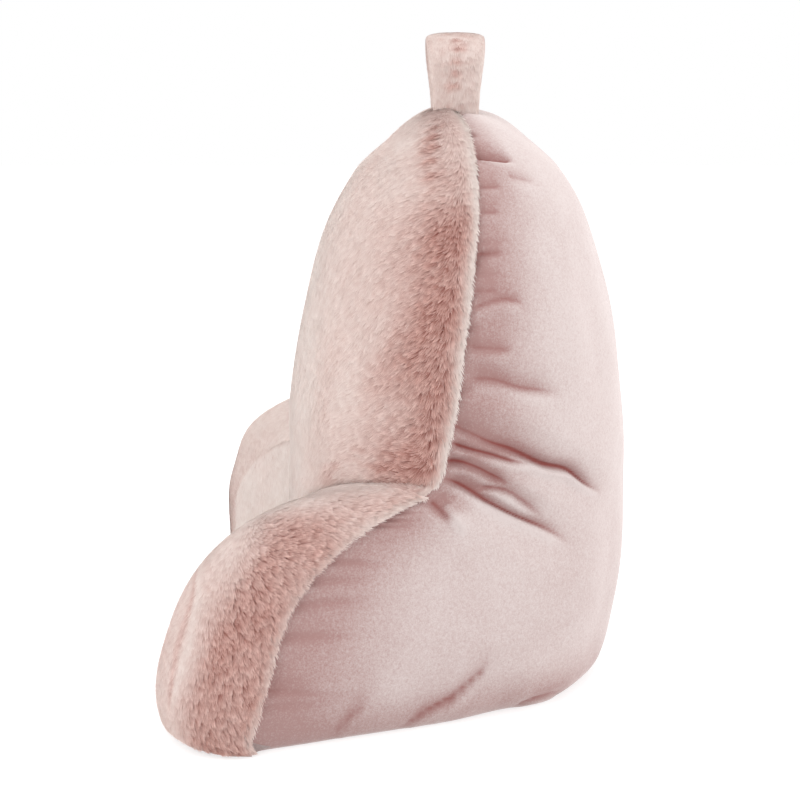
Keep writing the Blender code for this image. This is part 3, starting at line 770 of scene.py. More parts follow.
def front_patches(side):
    """Pile of half the front: deep and ruffled in a band beside the seam, darkened there partly with painted
    shade, smooth and pale towards the middle, with a pale ridge that hangs along the seam itself, given a
    painted highlight."""
    back, above, below = front_sheets(*PILE_FRONT)
    away = distance_along(above[0], 1)
    here = above[0] * [side, 1, 1]
    uneven = waves(here, 0.07, 21) * 0.006 + waves(here, 0.025, 22) * 0.003
    v = back[:, None] + 0 * away
    low, top = 1 - ramp(v, CORNER, 0.13), ramp(v, 0.93, 0.05)
    upper = ramp(v, 0.60, 0.20)
    beyond = np.clip(away + uneven - 0.024 + 0.004 * low, 0, None) / (0.031 + 0.008 * low - 0.006 * upper)
    # how deep, lifting the locks and darkening them partly with painted shade: a band beside the seam, spots
    # above the shoulder, streaks above the arm, a soft band inside
    dark = np.exp(-(beyond**1.25)) * (1 - 0.72 * ramp(v, 0.66, 0.18)) * (1 - 0.6 * top)
    crown = ramp(v, 0.82, 0.12)
    spots = np.clip(waves(here, 0.020, 24) - 0.1, 0, 1) * bell(away, 0.024, 0.014)
    dark = dark + 0.6 * spots * ramp(v, 0.68, 0.08) * (1 - ramp(v, 0.86, 0.05))
    lines = np.clip(0.25 + 1.2 * waves(above[0] * [0.22 * side, 0.22, 1], 0.010, 25), 0, 1)
    lines = lines * np.exp(-(((v - CORNER - 0.024) / 0.022) ** 2) - (away / 0.12) ** 2)
    dark = dark + 0.46 * lines + 0.15 * bell(away, 0.11, 0.045)
    # how the locks turn from hanging: outwards at the seam, inwards beyond it, and less towards the middle
    turn = np.radians(44 + 40 * low - 34 * crown)
    outward = -np.radians(30 - 20 * crown)
    angle = outward + (turn - outward) * ramp(away + uneven * 0.5, 0.004, 0.020)
    angle = angle * (1 - 0.88 * ramp(away, 0.05, 0.17))
    rim = 1 - eased(away / 0.011)
    lift = (0.05 + 0.26 * np.clip(dark, 0, 1) + 0.05 * rim) * (1 - 0.92 * top)
    length = FRONT_LOCK * (0.62 + 0.38 * ramp(back, CORNER, 0.02))[:, None] * (1 - 0.25 * top)
    # painted shade where the pile is deep, less of it near the crown, and a painted highlight on the ridge by
    # the seam
    tone = 0.95 - 0.91 * dark + 0.95 * rim * (0.15 + dark)
    upper = patch(above, side, angle, length, lift, tone)
    away = distance_along(below[0], 1) + 0.004
    length = BETWEEN_LOCK * (0.55 + 0.45 * eased(away / 0.02))
    lower = patch(below, side, np.zeros(below[1].shape), length, 0.07, 0.95)
    return upper, lower, fringe_patch(above, side, FRONT_FRINGE * (1 - 0.5 * crown[:, :1]), 0.80)


def band_patches(side):
    """Pile of an arm's band: deep on its outer side, darkened there partly with painted shade, smooth and
    pale over its crest, with ridges along both seams that carry a painted highlight, and a parting down the
    nose."""
    v, sheet = band_sheet(*PILE_BAND)
    away = distance_along(sheet[0], 1)
    total = away[:, -1:]
    across = away / total + 0.05 * waves(sheet[0] * [side, 1, 1], 0.06, 23)
    v = v[:, None] + 0 * away
    # straight out to the outer seam is -90 degrees
    nose = 1 - ramp(v, 0.09, 0.15)
    over = ramp(across, 0.30, 0.24)
    inside = ramp(across, 0.62, 0.25)
    turn = (1 - over) * (-np.radians(128) + np.radians(98) * nose)
    turn = turn + over * np.radians(30 * nose - 12 + 80 * inside)
    rim = 1 - eased(away / 0.010)
    inner_rim = 1 - eased((total - away) / 0.012)
    end = 1 - eased((CORNER - v) / 0.03)
    turn = turn * (1 - end) + np.pi * end
    upper = ramp(v, 0.22, 0.08)
    dark = (1 - eased((across - 0.25 + 0.09 * upper) / (0.32 - 0.06 * upper))) * (1 - 0.22 * upper)
    lift = 0.025 + 0.27 * dark * (1 - end) + 0.06 * rim
    length = ARM_LOCK * (1 - 0.10 * inner_rim) * (1 - 0.15 * end) * (1 - 0.25 * over)
    # painted shade on the deep outer side, and painted highlights on the ridges along both seams
    tone = 0.86 - 0.14 * nose - 0.62 * dark**2.2 + (0.38 + 0.20 * nose) * rim
    # the parting: painted shade down the groove of the nose, with a painted highlight beside it
    groove = across - 0.525 - 0.18 * ramp(v, 0.126, 0.04)
    fading = ramp(v, 0.045, 0.03) * (1 - ramp(v, 0.145, 0.03))
    tone = tone + (0.16 * bell(groove, -0.045, 0.03) - 0.34 * bell(groove, 0, 0.016)) * fading
    return patch(sheet, side, turn, length, lift, tone), fringe_patch(sheet, side, ARM_FRINGE, 0.72)


def inner_patch(side):
    """Pile of an arm's inner face: it hangs down, shorter at the inner seam and beside the back."""
    points, height = inner_sheet(*PILE_INNER)
    climb, away = distance_along(points, 1), distance_along(points, 0)
    length = ARM_LOCK * (0.6 + 0.4 * eased((climb[:, -1:] - climb) / 0.012))
    length = length * (0.55 + 0.45 * eased(away / 0.02))
    # the columns climb, so straight down is -90 degrees
    return patch((points, height), side, np.full(height.shape, -np.radians(90)), length, 0.05, 0.95)


def fringe_patch(sheet, side, length, tone):
    """A narrow strip along a panel's first column, whose locks hang down and out over what lies beyond
    the seam."""
    points = placed(sheet[0], side)
    normal = normals_of(points, side)[:, 1]
    edge = points[:, 0] - normal * tucked(points[:, :1, 2])
    reach_in = unit(points[:, 4] - points[:, 0])
    top = edge + reach_in * FRINGE_WIDTH + normal * BACKING * 0.6
    strip = np.stack([edge + normal * FIRST_ROOTS, top], 1)
    down = unit(-np.gradient(edge, axis=0))
    lay = np.repeat((down * 0.94 - reach_in * 0.34)[:, None], 2, 1)
    return Patch(strip, np.repeat(normal[:, None], 2, 1), lay, *spread(strip, length, FRINGE_LIFT, tone))


def triangle_areas(p):
    """Twice the area of the two triangles in every cell of a grid: its first corner's, then its last
    corner's."""
    first = np.cross(p[1:, :-1] - p[:-1, :-1], p[:-1, 1:] - p[:-1, :-1])
    last = np.cross(p[:-1, 1:] - p[1:, 1:], p[1:, :-1] - p[1:, 1:])
    return np.linalg.norm(first, axis=-1), np.linalg.norm(last, axis=-1)


def places_on(spot, count, rng):
    """Random places on a patch, even by area, with all that it holds read there between four points."""
    held = np.concatenate(
        [spot.points, spot.normal, spot.lay, np.stack([spot.length, spot.lift, spot.tone], -1)], axis=-1
    )
    area = sum(triangle_areas(spot.points))
    total = np.cumsum(area.ravel())
    cell = np.minimum(np.searchsorted(total, rng.random(count) * total[-1]), area.size - 1)
    i, j = np.divmod(cell, area.shape[1])
    s, t = rng.random((2, count, 1))
    near = (1 - t) * held[i, j] + t * held[i, j + 1]
    far = (1 - t) * held[i + 1, j] + t * held[i + 1, j + 1]
    return (1 - s) * near + s * far


def tuft_means(points, tuft):
    """The middle of each point's tuft."""
    sums_of = np.stack([np.bincount(tuft, weights=points[:, k]) for k in range(3)], -1)
    return (sums_of / np.bincount(tuft)[:, None])[tuft]


def add_pile(name, patches, count, settings, shares=(1.0,), fill=0.8):
    """A joined mesh of count locks, spread over the patches by their areas times their shares. Each lock
    is a narrow triangle that leaves its root at a lift, follows the lay, and leans to the middle of its
    tuft. Tufts are cells of a jittered lattice. Each has its own turn, lift and length, lies more ruffled
    where it is deep, and pales from its back to its front along the lay, a painted shade at its back."""
    rng = np.random.default_rng(settings.seed + sum(map(ord, name)))
    areas = [float(triangle_areas(spot.points)[0].sum()) for spot in patches]
    weights = np.array(areas) * shares
    counts = (weights / weights.sum() * count).astype(int)
    held = np.concatenate([places_on(spot, n, rng) for spot, n in zip(patches, counts)])
    count = len(held)
    root, normal, lay = held[:, :3], unit(held[:, 3:6]), held[:, 6:9]
    length, lift, tone = held[:, 9:10], held[:, 10:11], held[:, 11:12]
    lay = unit(lay - normal * dot(lay, normal))
    jitter = np.stack([waves(root, 0.012, seed) for seed in (11, 12, 13)], -1) * 0.75
    cells = np.floor(root / settings.tuft + jitter).astype(np.int64)
    keys = (cells[:, 0] * CELL_SPAN + cells[:, 1]) * CELL_SPAN + cells[:, 2]
    _, tuft = np.unique(keys, return_inverse=True)
    # random numbers that the locks of a tuft share, and those that a lock has to itself
    own = rng.random((tuft.max() + 1, 4))[tuft]
    free = rng.random((count, 6))
    ruffled = np.clip(1.10 - tone, 0.12, 1.1)
    turn = 0.25 * waves(root, 0.070, 5)[:, None]
    turn = turn + ruffled * (0.60 * (own[:, :1] - 0.5) + 0.25 * (free[:, :1] - 0.5))
    turn = turn + 0.12 * (free[:, :1] - 0.5)
    lay = lay * np.cos(turn) + np.cross(normal, lay) * np.sin(turn)
    ahead = np.clip(dot(root - tuft_means(root, tuft), lay) / settings.tuft, -0.5, 0.5)
    first = lift * (1 + 0.5 * (own[:, 1:2] - 0.5)) + ruffled * (0.14 * (free[:, 1:2] - 0.5) + 0.16 * ahead)
    length = length * (0.78 + 0.30 * free[:, 3:4]) * (0.86 + 0.28 * own[:, 2:3])
    length = length * settings.length / PLAIN_LOCK
    tip = root + length * (lay * np.cos(first) + normal * np.sin(first))
    tip = tip + settings.gather * ruffled * (tuft_means(tip, tuft) - tip) * (0.5 + free[:, 4:5])
    roll = (0.10 + 0.24 * ruffled) * (free[:, 5:6] - 0.5)
    width = settings.width * (0.75 + 0.5 * free[:, 4:5])
    side = (np.cross(lay, normal) * np.cos(roll) + normal * np.sin(roll)) * width / 2
    blade = np.stack([root - side, root + side, tip], 1)
    blade[..., 2] = np.maximum(blade[..., 2], FLOOR_CLEAR)
    own_normal = unit(np.cross(side, tip - root))
    shading = unit(normal * settings.smooth + own_normal * (1 - settings.smooth))
    material = material_named("long_pile", pile_material, settings)
    obj = add_mesh(name, blade.reshape(-1, 3), [np.arange(count * 3).reshape(-1, 3)], material)
    data = obj.data
    along = np.tile([0.0, 0.0, 1.0], count)
    # a lock's shade: random tint, and painted shade at the back of its tuft that pales towards its front
    shade = np.clip(0.26 * own[:, 3] + 0.54 * free[:, 0] + 0.10 + 0.50 * ahead[:, 0], 0, 1)
    corner = np.empty(len(data.loops), np.int32)
    data.loops.foreach_get("vertex_index", corner)
    places = np.stack([np.repeat(shade, 3), along], -1)[corner]
    data.uv_layers.new(name="Pile").uv.foreach_set("vector", places.astype(np.float32).ravel())
    blotch = 0.10 * waves(root, 0.045, 8)[:, None] + 0.06 * waves(root, 0.016, 9)[:, None]
    blotch = blotch * np.clip(ruffled * 1.3, 0.4, 1.2)
    add_values(obj, "tone", np.repeat(np.clip(tone + blotch, 0, 1)[:, 0], 3))
    data.normals_split_custom_set_from_vertices(np.repeat(shading, 3, axis=0))
    dress(obj, "fur", fill)


def slab(sheet, side, first):
    """A closed slab over a sheet of backing: its points and faces."""
    points, height = sheet
    points = placed(points, side)
    normal = normals_of(points, side)
    rows, columns = points.shape[:2]
    turned = tucked(points[..., 2])
    outer = points + normal * (np.maximum(height - CLOTH_DROP, CLOTH_LEAST) - turned)[..., None]
    inner = points + normal * (CLOTH_UNDER - turned)[..., None]
    both = np.concatenate([outer.reshape(-1, 3), inner.reshape(-1, 3)])
    both[:, 2] = np.maximum(both[:, 2], FLOOR_CLEAR / 2)
    size = rows * columns
    edge = np.concatenate(
        [
            np.arange(columns),
            np.arange(1, rows) * columns + columns - 1,
            (rows - 1) * columns + np.arange(columns - 2, -1, -1),
            np.arange(rows - 2, 0, -1) * columns,
        ]
    )
    ahead = np.roll(edge, -1)
    walls = np.stack([edge, ahead, ahead + size, edge + size], -1)
    faces = np.concatenate(
        [
            grid_faces(rows, columns, 0, side < 0),
            grid_faces(rows, columns, size, side > 0),
            walls[:, ::-1] if side < 0 else walls,
        ]
    )
    return both, faces + first


def loop_rings(thick):
    """The loop's points, ring by ring along its path from the left foot over the top to the right foot,
    and the path's directions. A ring is a rounded flat section, wider at the top of the loop than at its
    feet."""
    top = CROWN + LOOP_RISE - LOOP_THICK / 2
    foot = CROWN - LOOP_SINK
    bend = np.linspace(0, np.pi / 2, LOOP_STEPS + 1)
    centre = [LOOP_HALF - LOOP_CORNER, top - LOOP_CORNER]
    corner = np.stack([np.sin(bend), np.cos(bend)], -1) * LOOP_CORNER + centre
    flat = np.linspace((0.0, top), corner[0], LOOP_STEPS // 2 + 1)[:-1]
    leg = np.linspace(corner[-1], (LOOP_HALF, foot), 2 * LOOP_STEPS)[1:]
    right = np.concatenate([flat, corner, leg])
    path = np.concatenate([right[:0:-1] * [-1, 1], right])
    along = unit(np.gradient(path, axis=0))
    away = np.stack([-along[:, 1], along[:, 0]], -1)
    rise = (path[:, 1] - path[:, 1].min()) / np.ptp(path[:, 1])
    width = LOOP_FOOT_WIDTH + (LOOP_TOP_WIDTH - LOOP_FOOT_WIDTH) * eased(rise) - (LOOP_THICK - thick)
    turn = np.linspace(0, 2 * np.pi, LOOP_SIDES, endpoint=False)
    across, depth = (np.sign(part) * np.abs(part) ** LOOP_SQUARE for part in (np.cos(turn), np.sin(turn)))
    rings = np.empty((len(path), LOOP_SIDES, 3))
    rings[..., 0] = path[:, None, 0] + away[:, None, 0] * depth * thick / 2
    rings[..., 1] = width[:, None] / 2 * across
    rings[..., 2] = path[:, None, 1] + away[:, None, 1] * depth * thick / 2
    directions = np.stack([along[:, 0], 0 * along[:, 0], along[:, 1]], -1)
    return rings + [0, SETBACK - LOOP_FORWARD, 0], directions


def strap(thick):
    """The closed strap of the loop: its points, its faces with both end caps, and the sign that turns the
    normals of its rings outwards."""
    rings, _ = loop_rings(thick)
    count, sides = rings.shape[:2]
    wrap = (np.arange(count)[:, None] * sides + np.arange(sides + 1) % sides).ravel()
    quads = wrap[grid_faces(count, sides + 1)]
    caps = np.arange(sides) + np.array([[0], [(count - 1) * sides]])
    caps[0] = caps[0, ::-1]
    normal = normals_of(np.concatenate([rings, rings[:, :1]], 1), 1)[:, :-1]
    if dot(normal, rings - rings.mean(1, keepdims=True)).mean() > 0:
        return rings.reshape(-1, 3), [quads, caps], 1
    return rings.reshape(-1, 3), [quads[:, ::-1], caps[:, ::-1]], -1


def loop_patch(thick, facing):
    """Pile of the loop: it hangs down both legs from the middle of the top, in fine streaks that are
    deepest along the middle of the strap, and is shorter and flatter at its edges and on top."""
    rings, along = loop_rings(thick)
    points = np.concatenate([rings, rings[:, :1]], 1)
    from_middle = (np.arange(len(points)) - (len(points) - 1) / 2)[:, None, None]
    lay = along[:, None] * np.clip(from_middle / 3.0, -1, 1) + 0 * points
    lay = lay + np.array([0, 0.05, 0]) * np.sign(points[..., 1:2] - SETBACK)
    sideways = np.abs(points[..., 1] - SETBACK) / (LOOP_TOP_WIDTH / 2)
    streaks = np.clip(0.26 + 1.2 * waves(points * [1, 1, 0.55], 0.0042, 33), 0, 1)
    tone = 0.85 - 0.62 * streaks * bell(sideways, -0.05, 0.40)
    below = eased((CROWN + LOOP_RISE - 0.012 - points[..., 2]) / 0.012)
    edge = ramp(sideways, 0.62, 0.25)
    length = (0.0042 + 0.0026 * below) * (1 - 0.5 * edge)
    return Patch(points, normals_of(points, facing), lay, length, (0.01 + 0.18 * below) * (1 - edge), tone)


# Materials


def feed(socket, value):
    """Link the socket to another node's output, or give it a value of its own."""
    if isinstance(value, bpy.types.NodeSocket):
        socket.id_data.links.new(value, socket)
    else:
        socket.default_value = value


def adder(tree):
    """A way to add nodes to this tree: their kind, what feeds their sockets, and their settings."""

    def add(kind, inputs=None, **settings):
        node = tree.nodes.new(kind)
        for key, value in settings.items():
            setattr(node, key, value)
        for key, value in (inputs or {}).items():
            feed(node.inputs[key], value)
        return node

    return add


def new_material(name):
    """An empty material with its Principled shader, and a way to add its nodes."""
    material = bpy.data.materials.new(name)
    material.use_nodes = True
    return material, material.node_tree.nodes["Principled BSDF"], adder(material.node_tree)


def finished(shader, roughness, specular, sheen=None):
    """Set the shader's finish. A sheen is its weight, roughness and tint."""
    shader.inputs["Roughness"].default_value = roughness
    shader.inputs["Specular IOR Level"].default_value = specular
    if sheen:
        for key, value in zip(("Sheen Weight", "Sheen Roughness", "Sheen Tint"), sheen):
            shader.inputs[key].default_value = value


def mixed(add, share, a, b, blend="MIX"):
    """Colour a turning into colour b by the share."""
    node = add("ShaderNodeMix", data_type="RGBA", blend_type=blend)
    for key, value in (("Factor_Float", share), ("A_Color", a), ("B_Color", b)):
        feed(next(socket for socket in node.inputs if socket.identifier == key), value)
    return next(socket for socket in node.outputs if socket.identifier == "Result_Color")


def sums(add, kind, a, b, clamp=False):
    """What this kind of arithmetic makes of a and b."""
    return add("ShaderNodeMath", {0: a, 1: b}, operation=kind, use_clamp=clamp).outputs[0]


def velvet_material(settings):
    """Short pile: painted sheen where the cloth lies smooth, painted shade along the seams and in the folds,
    shifted deeper and paler in soft blotches, with a fine grain."""
    material, shader, add = new_material("velvet_cloth")
    place = add("ShaderNodeTexCoord").outputs["Object"]
    # painted sheen and shade of the cover, shifted by random blotches, streaks and grain
    tone = add("ShaderNodeAttribute", attribute_name="nap").outputs["Fac"]
    deep = add("ShaderNodeAttribute", attribute_name="deep").outputs["Fac"]
    blotch = add("ShaderNodeTexNoise", {"Vector": place, "Scale": 26.0, "Detail": 4.0, "Roughness": 0.6})
    streak = add("ShaderNodeTexNoise", {"Vector": place, "Scale": 400.0, "Detail": 3.0, "Roughness": 0.7})
    grain = add("ShaderNodeTexNoise", {"Vector": place, "Scale": 900.0, "Detail": 2.0, "Roughness": 0.7})
    for noise, share in ((blotch, 0.34), (streak, 0.85), (grain, 0.95)):
        shift = sums(add, "MULTIPLY", sums(add, "SUBTRACT", noise.outputs["Fac"], 0.5), share)
        tone = sums(add, "ADD", tone, shift, noise is grain)
    colour = mixed(add, tone, settings.shaded_velvet_colour, settings.sheen_velvet_colour)
    # painted shade at the bottom of the creases, darkest along their lines
    colour = mixed(add, deep, colour, settings.crease_shade_colour)
    feed(shader.inputs["Base Color"], colour)
    fine = add("ShaderNodeBump", {"Height": grain.outputs["Fac"], "Strength": 0.35, "Distance": 0.0006})
    soft = add("ShaderNodeBump", {"Height": blotch.outputs["Fac"], "Strength": 0.35, "Distance": 0.004})
    feed(soft.inputs["Normal"], fine.outputs["Normal"])
    feed(shader.inputs["Normal"], soft.outputs["Normal"])
    finished(shader, 0.9, 0.2, (0.55, 0.42, (1.0, 0.93, 0.91, 1.0)))
    return material


def pile_material(settings):
    """Long pile: every lock runs from a deep rosy root to a pale tip, paler or deeper by the values it
    carries, which are partly painted shade, and by its own shade, random tint with painted shade at the back
    of its tuft, and lets some light through."""
    material, shader, add = new_material("long_pile")
    uv = add("ShaderNodeUVMap", uv_map="Pile").outputs["UV"]
    split = add("ShaderNodeSeparateXYZ", {"Vector": uv})
    tone = add("ShaderNodeAttribute", attribute_name="tone").outputs["Fac"]
    along = add("ShaderNodeMapRange", {"Value": split.outputs["Y"], "From Min": 0.0, "From Max": 1.0})
    along.interpolation_type = "SMOOTHSTEP"
    tip = mixed(add, tone, settings.tip_deep, settings.tip_pale)
    root = mixed(add, tone, settings.root_deep, settings.root_pale)
    colour = mixed(add, along.outputs["Result"], root, tip)
    # painted shade: a lock of low shade value darkens towards a rosy colour where the pile is deep, a paler
    # one where it is pale
    shadow = mixed(add, tone, (0.66, 0.47, 0.44, 1.0), (0.95, 0.915, 0.90, 1.0))
    own = mixed(add, split.outputs["X"], shadow, (1.08, 1.08, 1.08, 1.0))
    colour = mixed(add, 1.0, colour, own, "MULTIPLY")
    feed(shader.inputs["Base Color"], colour)
    finished(shader, 0.7, 0.2, (0.25, 0.4, (1.0, 0.95, 0.93, 1.0)))
    glow = mixed(add, sums(add, "MULTIPLY", tone, 0.55), colour, (0.85, 0.835, 0.825, 1.0))
    through = add("ShaderNodeBsdfTranslucent", {"Color": glow})
    both = add("ShaderNodeMixShader", {0: settings.translucence, 1: shader.outputs[0], 2: through.outputs[0]})
    feed(material.node_tree.nodes["Material Output"].inputs["Surface"], both.outputs[0])
    return material


def backing_material():
    """The cloth that the locks grow from, seen only between their roots."""
    material, shader, add = new_material("pile_backing")
    place = add("ShaderNodeTexCoord").outputs["Object"]
    mottle = add("ShaderNodeTexNoise", {"Vector": place, "Scale": 420.0, "Detail": 3.0})
    colour = mixed(add, mottle.outputs["Fac"], (0.62, 0.42, 0.37, 1.0), (0.78, 0.66, 0.62, 1.0))
    feed(shader.inputs["Base Color"], colour)
    finished(shader, 0.95, 0.1)
    return material


def material_named(name, maker, *settings):
    """The material of this name, made by its maker the first time."""
    return bpy.data.materials.get(name) or maker(*settings)


# Settings

COLOUR = {"subtype": "COLOR", "size": 4}
SHARE = {"min": 0.0, "max": 1.0}


class PillowCoverSettings(bpy.types.PropertyGroup):
    creasing: FloatProperty(
        name="Creasing", description="How deep the creases and gathers are", default=1.0, min=0.0
    )
    unevenness: FloatProperty(
        name="Unevenness", description="Depth of the soft lumps of the filling", default=0.0012, unit="LENGTH"
    )
    # the dark and the pale end of the velvet's painted sheen and shade
    shaded_velvet_colour: FloatVectorProperty(
        name="Deep colour",
        description="Velvet where its nap stands towards you",
        default=(0.312, 0.188, 0.176, 1.0),
        **COLOUR,
    )
    sheen_velvet_colour: FloatVectorProperty(
        name="Pale colour",
        description="Velvet where its nap lies smooth",
        default=(0.530, 0.455, 0.441, 1.0),
        **COLOUR,
    )
    # painted shade at the bottom of a crease
    crease_shade_colour: FloatVectorProperty(
        name="Fold colour",
        description="Velvet at the bottom of a crease",
        default=(0.20, 0.050, 0.043, 1.0),
        **COLOUR,
    )


class PillowPileSettings(bpy.types.PropertyGroup):
    seed: IntProperty(name="Seed", description="Changes where each lock stands", default=7)
    length: FloatProperty(name="Length", description="Of a lock", default=0.0090, unit="LENGTH")
    width: FloatProperty(name="Width", description="Of a lock at its root", default=0.0011, unit="LENGTH")
    tuft: FloatProperty(name="Tuft", description="How far apart the tufts are", default=0.0042, unit="LENGTH")
    smooth: FloatProperty(
        name="Smoothness", description="How much the locks shade as one surface", default=0.78, **SHARE
    )
    translucence: FloatProperty(
        name="Translucence", description="Share of light that passes through a lock", default=0.45, **SHARE
    )
    gather: FloatProperty(name="Gather", description="How far a tuft's tips come together", default=0.20)
    front_locks: IntProperty(name="Front locks", description="On each half of the front", default=190000)
    band_locks: IntProperty(name="Band locks", description="On each arm's band", default=125000)
    inner_locks: IntProperty(name="Inner locks", description="On each arm's inner face", default=34000)
    loop_locks: IntProperty(name="Loop locks", description="On the carrying loop", default=55000)
    # a lock's colours, from deep to pale; the deep ones also carry painted shade
    root_deep: FloatVectorProperty(
        name="Deep root", description="Root of a deep lock", default=(0.50, 0.200, 0.160, 1.0), **COLOUR
    )
    root_pale: FloatVectorProperty(
        name="Pale root", description="Root of a pale lock", default=(0.83, 0.742, 0.700, 1.0), **COLOUR
    )
    tip_deep: FloatVectorProperty(
        name="Deep tip", description="Tip of a deep lock", default=(0.84, 0.630, 0.570, 1.0), **COLOUR
    )
    tip_pale: FloatVectorProperty(
        name="Pale tip", description="Tip of a pale lock", default=(0.885, 0.828, 0.795, 1.0), **COLOUR
    )


class PillowStageSettings(bpy.types.PropertyGroup):
    azimuth: FloatProperty(name="Azimuth", description="Camera, round from the front", default=89.7)
    elevation: FloatProperty(name="Elevation", description="Camera, above the floor's level", default=10.6)
    distance: FloatProperty(name="Distance", description="Camera from its aim", default=1.45, unit="LENGTH")
    aim_forward: FloatProperty(
        name="Aim forward", description="Y of the camera's aim", default=-0.0028, unit="LENGTH"
    )
    aim_height: FloatProperty(
        name="Aim height", description="Z of the camera's aim", default=0.23116, unit="LENGTH"
    )
    lens: FloatProperty(name="Lens", description="Focal length in millimetres", default=70.6)
    ambient: FloatProperty(name="Ambient", description="Light from all round", default=1.20)
    key: FloatProperty(name="Key", description="Watts of the light before the pillow", default=13.5)
    rim: FloatProperty(name="Rim", description="Watts of the light behind the pillow", default=12.5)
    top: FloatProperty(name="Top", description="Watts of the light over the pillow", default=7.0)


def turned_along(way):
    """Rotation that points a camera or a lamp this way."""
    return way.to_track_quat("-Z", "Y").to_euler()


# Operators


class PILLOW_OT_cover(bpy.types.Operator):
    """Build the filled velvet cover with its folds"""

    bl_idname = "pillow.cover"
    bl_label = "Cover"

    def execute(self, context):
        settings = context.scene.pillow_cover
        nose, arm, back = seam_places(NOSE_ROWS, ARM_ROWS, BACK_ROWS)
        places = np.concatenate([nose, arm, back[1:]])
        ways = even_steps(ROUND_COLUMNS) ** ROUND_CROWD
        v, t = np.meshgrid(places, ways, indexing="ij")
        form = pressed(velvet_surface(v, t), t)[:, ::-1]
        v, t = v[:, ::-1], t[:, ::-1]
        outward = normals_of(form, 1)
        upper = front_grid(back, UNDER_COLUMNS, MIDDLE_COLUMNS)
        lower = foot_grid(upper[0, UNDER_COLUMNS:], NOSE_ROWS)
        band = grid(band_surface, np.concatenate([nose, arm]), even_steps(UNDER_COLUMNS))
        inner = grid(inner_surface, even_steps(ARM_ROWS), even_steps(NOSE_ROWS))
        points, faces, sheen_and_shade_values, crease_shades = [], [], [], []
        count = 0
        for _, side in SIDES:
            height, line = creasing(v, t, side)
            height = height * settings.creasing
            lumpy = settings.unevenness * waves(form * [side, 1, 1], 0.085, 3) * eased(t / 0.03)
            sheet = form + outward * (height + lumpy)[..., None]
            sheet[-1] = form[-1]
            sheet[:, 0, 0] = 0.0
            sheet = hemmed(sheet, outward, v)
            # painted sheen and shade of the velvet: painted shade by the floor, by the seam and in the folds,
            # painted sheen round the rear
            nap = painted_sheen_and_shade(v, t, sheet[..., 2], height)
            # painted shade in the creases, deeper with their depth and darkest along their lines
            deep = 0.66 * np.clip(-height / 0.0052, 0, 1) ** 1.15 + 0.90 * line * settings.creasing
            parts = [(sheet, nap, deep)] + [(part, UNDER_SHEEN_AND_SHADE, 0.0) for part in (upper, lower, band, inner)]
            for part, nap, deep in parts:
                rows, columns = part.shape[:2]
                points.append(placed(part, side).reshape(-1, 3))
                faces.append(grid_faces(rows, columns, count, side < 0))
                sheen_and_shade_values.append(np.broadcast_to(nap, (rows, columns)).ravel())
                crease_shades.append(np.broadcast_to(deep, (rows, columns)).ravel())
                count += rows * columns
        material = material_named("velvet_cloth", velvet_material, settings)
        obj = add_mesh("velvet_cover", np.concatenate(points), [np.concatenate(faces)], material)
        add_values(obj, "nap", np.clip(np.concatenate(sheen_and_shade_values), 0, 1))
        add_values(obj, "deep", np.clip(np.concatenate(crease_shades), 0, 1))
        close_up(obj)
        dress(obj, "velvet", 0.8, "cushion_body")
        return {"FINISHED"}


class PILLOW_OT_backing(bpy.types.Operator):
    """Build the backing that the long pile grows from, one closed slab for each panel"""

    bl_idname = "pillow.backing"
    bl_label = "Pile backing"

    def execute(self, context):
        _, upper, lower = front_sheets(*SLAB_FRONT)
        _, band = band_sheet(*SLAB_BAND)
        inner = inner_sheet(*SLAB_INNER)
        points, faces, count = [], [], 0
        for _, side in SIDES:
            for sheet in (upper, lower, band, inner):
                both, quads = slab(sheet, side, count)
                points.append(both)
                faces.append(quads)
                count += len(both)
        material = material_named("pile_backing", backing_material)
        obj = add_mesh("pile_backing", np.concatenate(points), [np.concatenate(faces)], material)
        panels = ("front_panel", "arm_band_right", "arm_band_left", "arm_inner_right", "arm_inner_left")
        dress(obj, "fur", None, *panels)
        return {"FINISHED"}


class PILLOW_OT_front_pile(bpy.types.Operator):
    """Stand the long pile on the front of the back"""

    bl_idname = "pillow.front_pile"
    bl_label = "Front pile"

    def execute(self, context):
        settings = context.scene.pillow_pile
        for name, side in SIDES:
            add_pile("front_pile_" + name, front_patches(side), settings.front_locks, settings, FRONT_SHARES)
        return {"FINISHED"}


class PILLOW_OT_arm_pile(bpy.types.Operator):
    """Stand the long pile over the arms and inside them"""

    bl_idname = "pillow.arm_pile"
    bl_label = "Arm pile"

    def execute(self, context):
        settings = context.scene.pillow_pile
        for name, side in SIDES:
            add_pile("arm_pile_" + name, band_patches(side), settings.band_locks, settings, BAND_SHARES)
            add_pile("inner_pile_" + name, [inner_patch(side)], settings.inner_locks, settings)
        return {"FINISHED"}


class PILLOW_OT_loop(bpy.types.Operator):
    """Build the padded carrying loop and its pile"""

    bl_idname = "pillow.loop"
    bl_label = "Carrying loop"

    def execute(self, context):
        settings = context.scene.pillow_pile
        thick = LOOP_THICK * CORE_SHARE
        points, faces, facing = strap(thick - 2 * (CLOTH_DROP - ROOT_DROP))
        material = material_named("pile_backing", backing_material)
        core = add_mesh("loop_strap", points, faces, material)
        dress(core, "fur", 0.7, "handle")
        add_pile("loop_pile", [loop_patch(thick, facing)], settings.loop_locks, settings, fill=0.7)
        return {"FINISHED"}


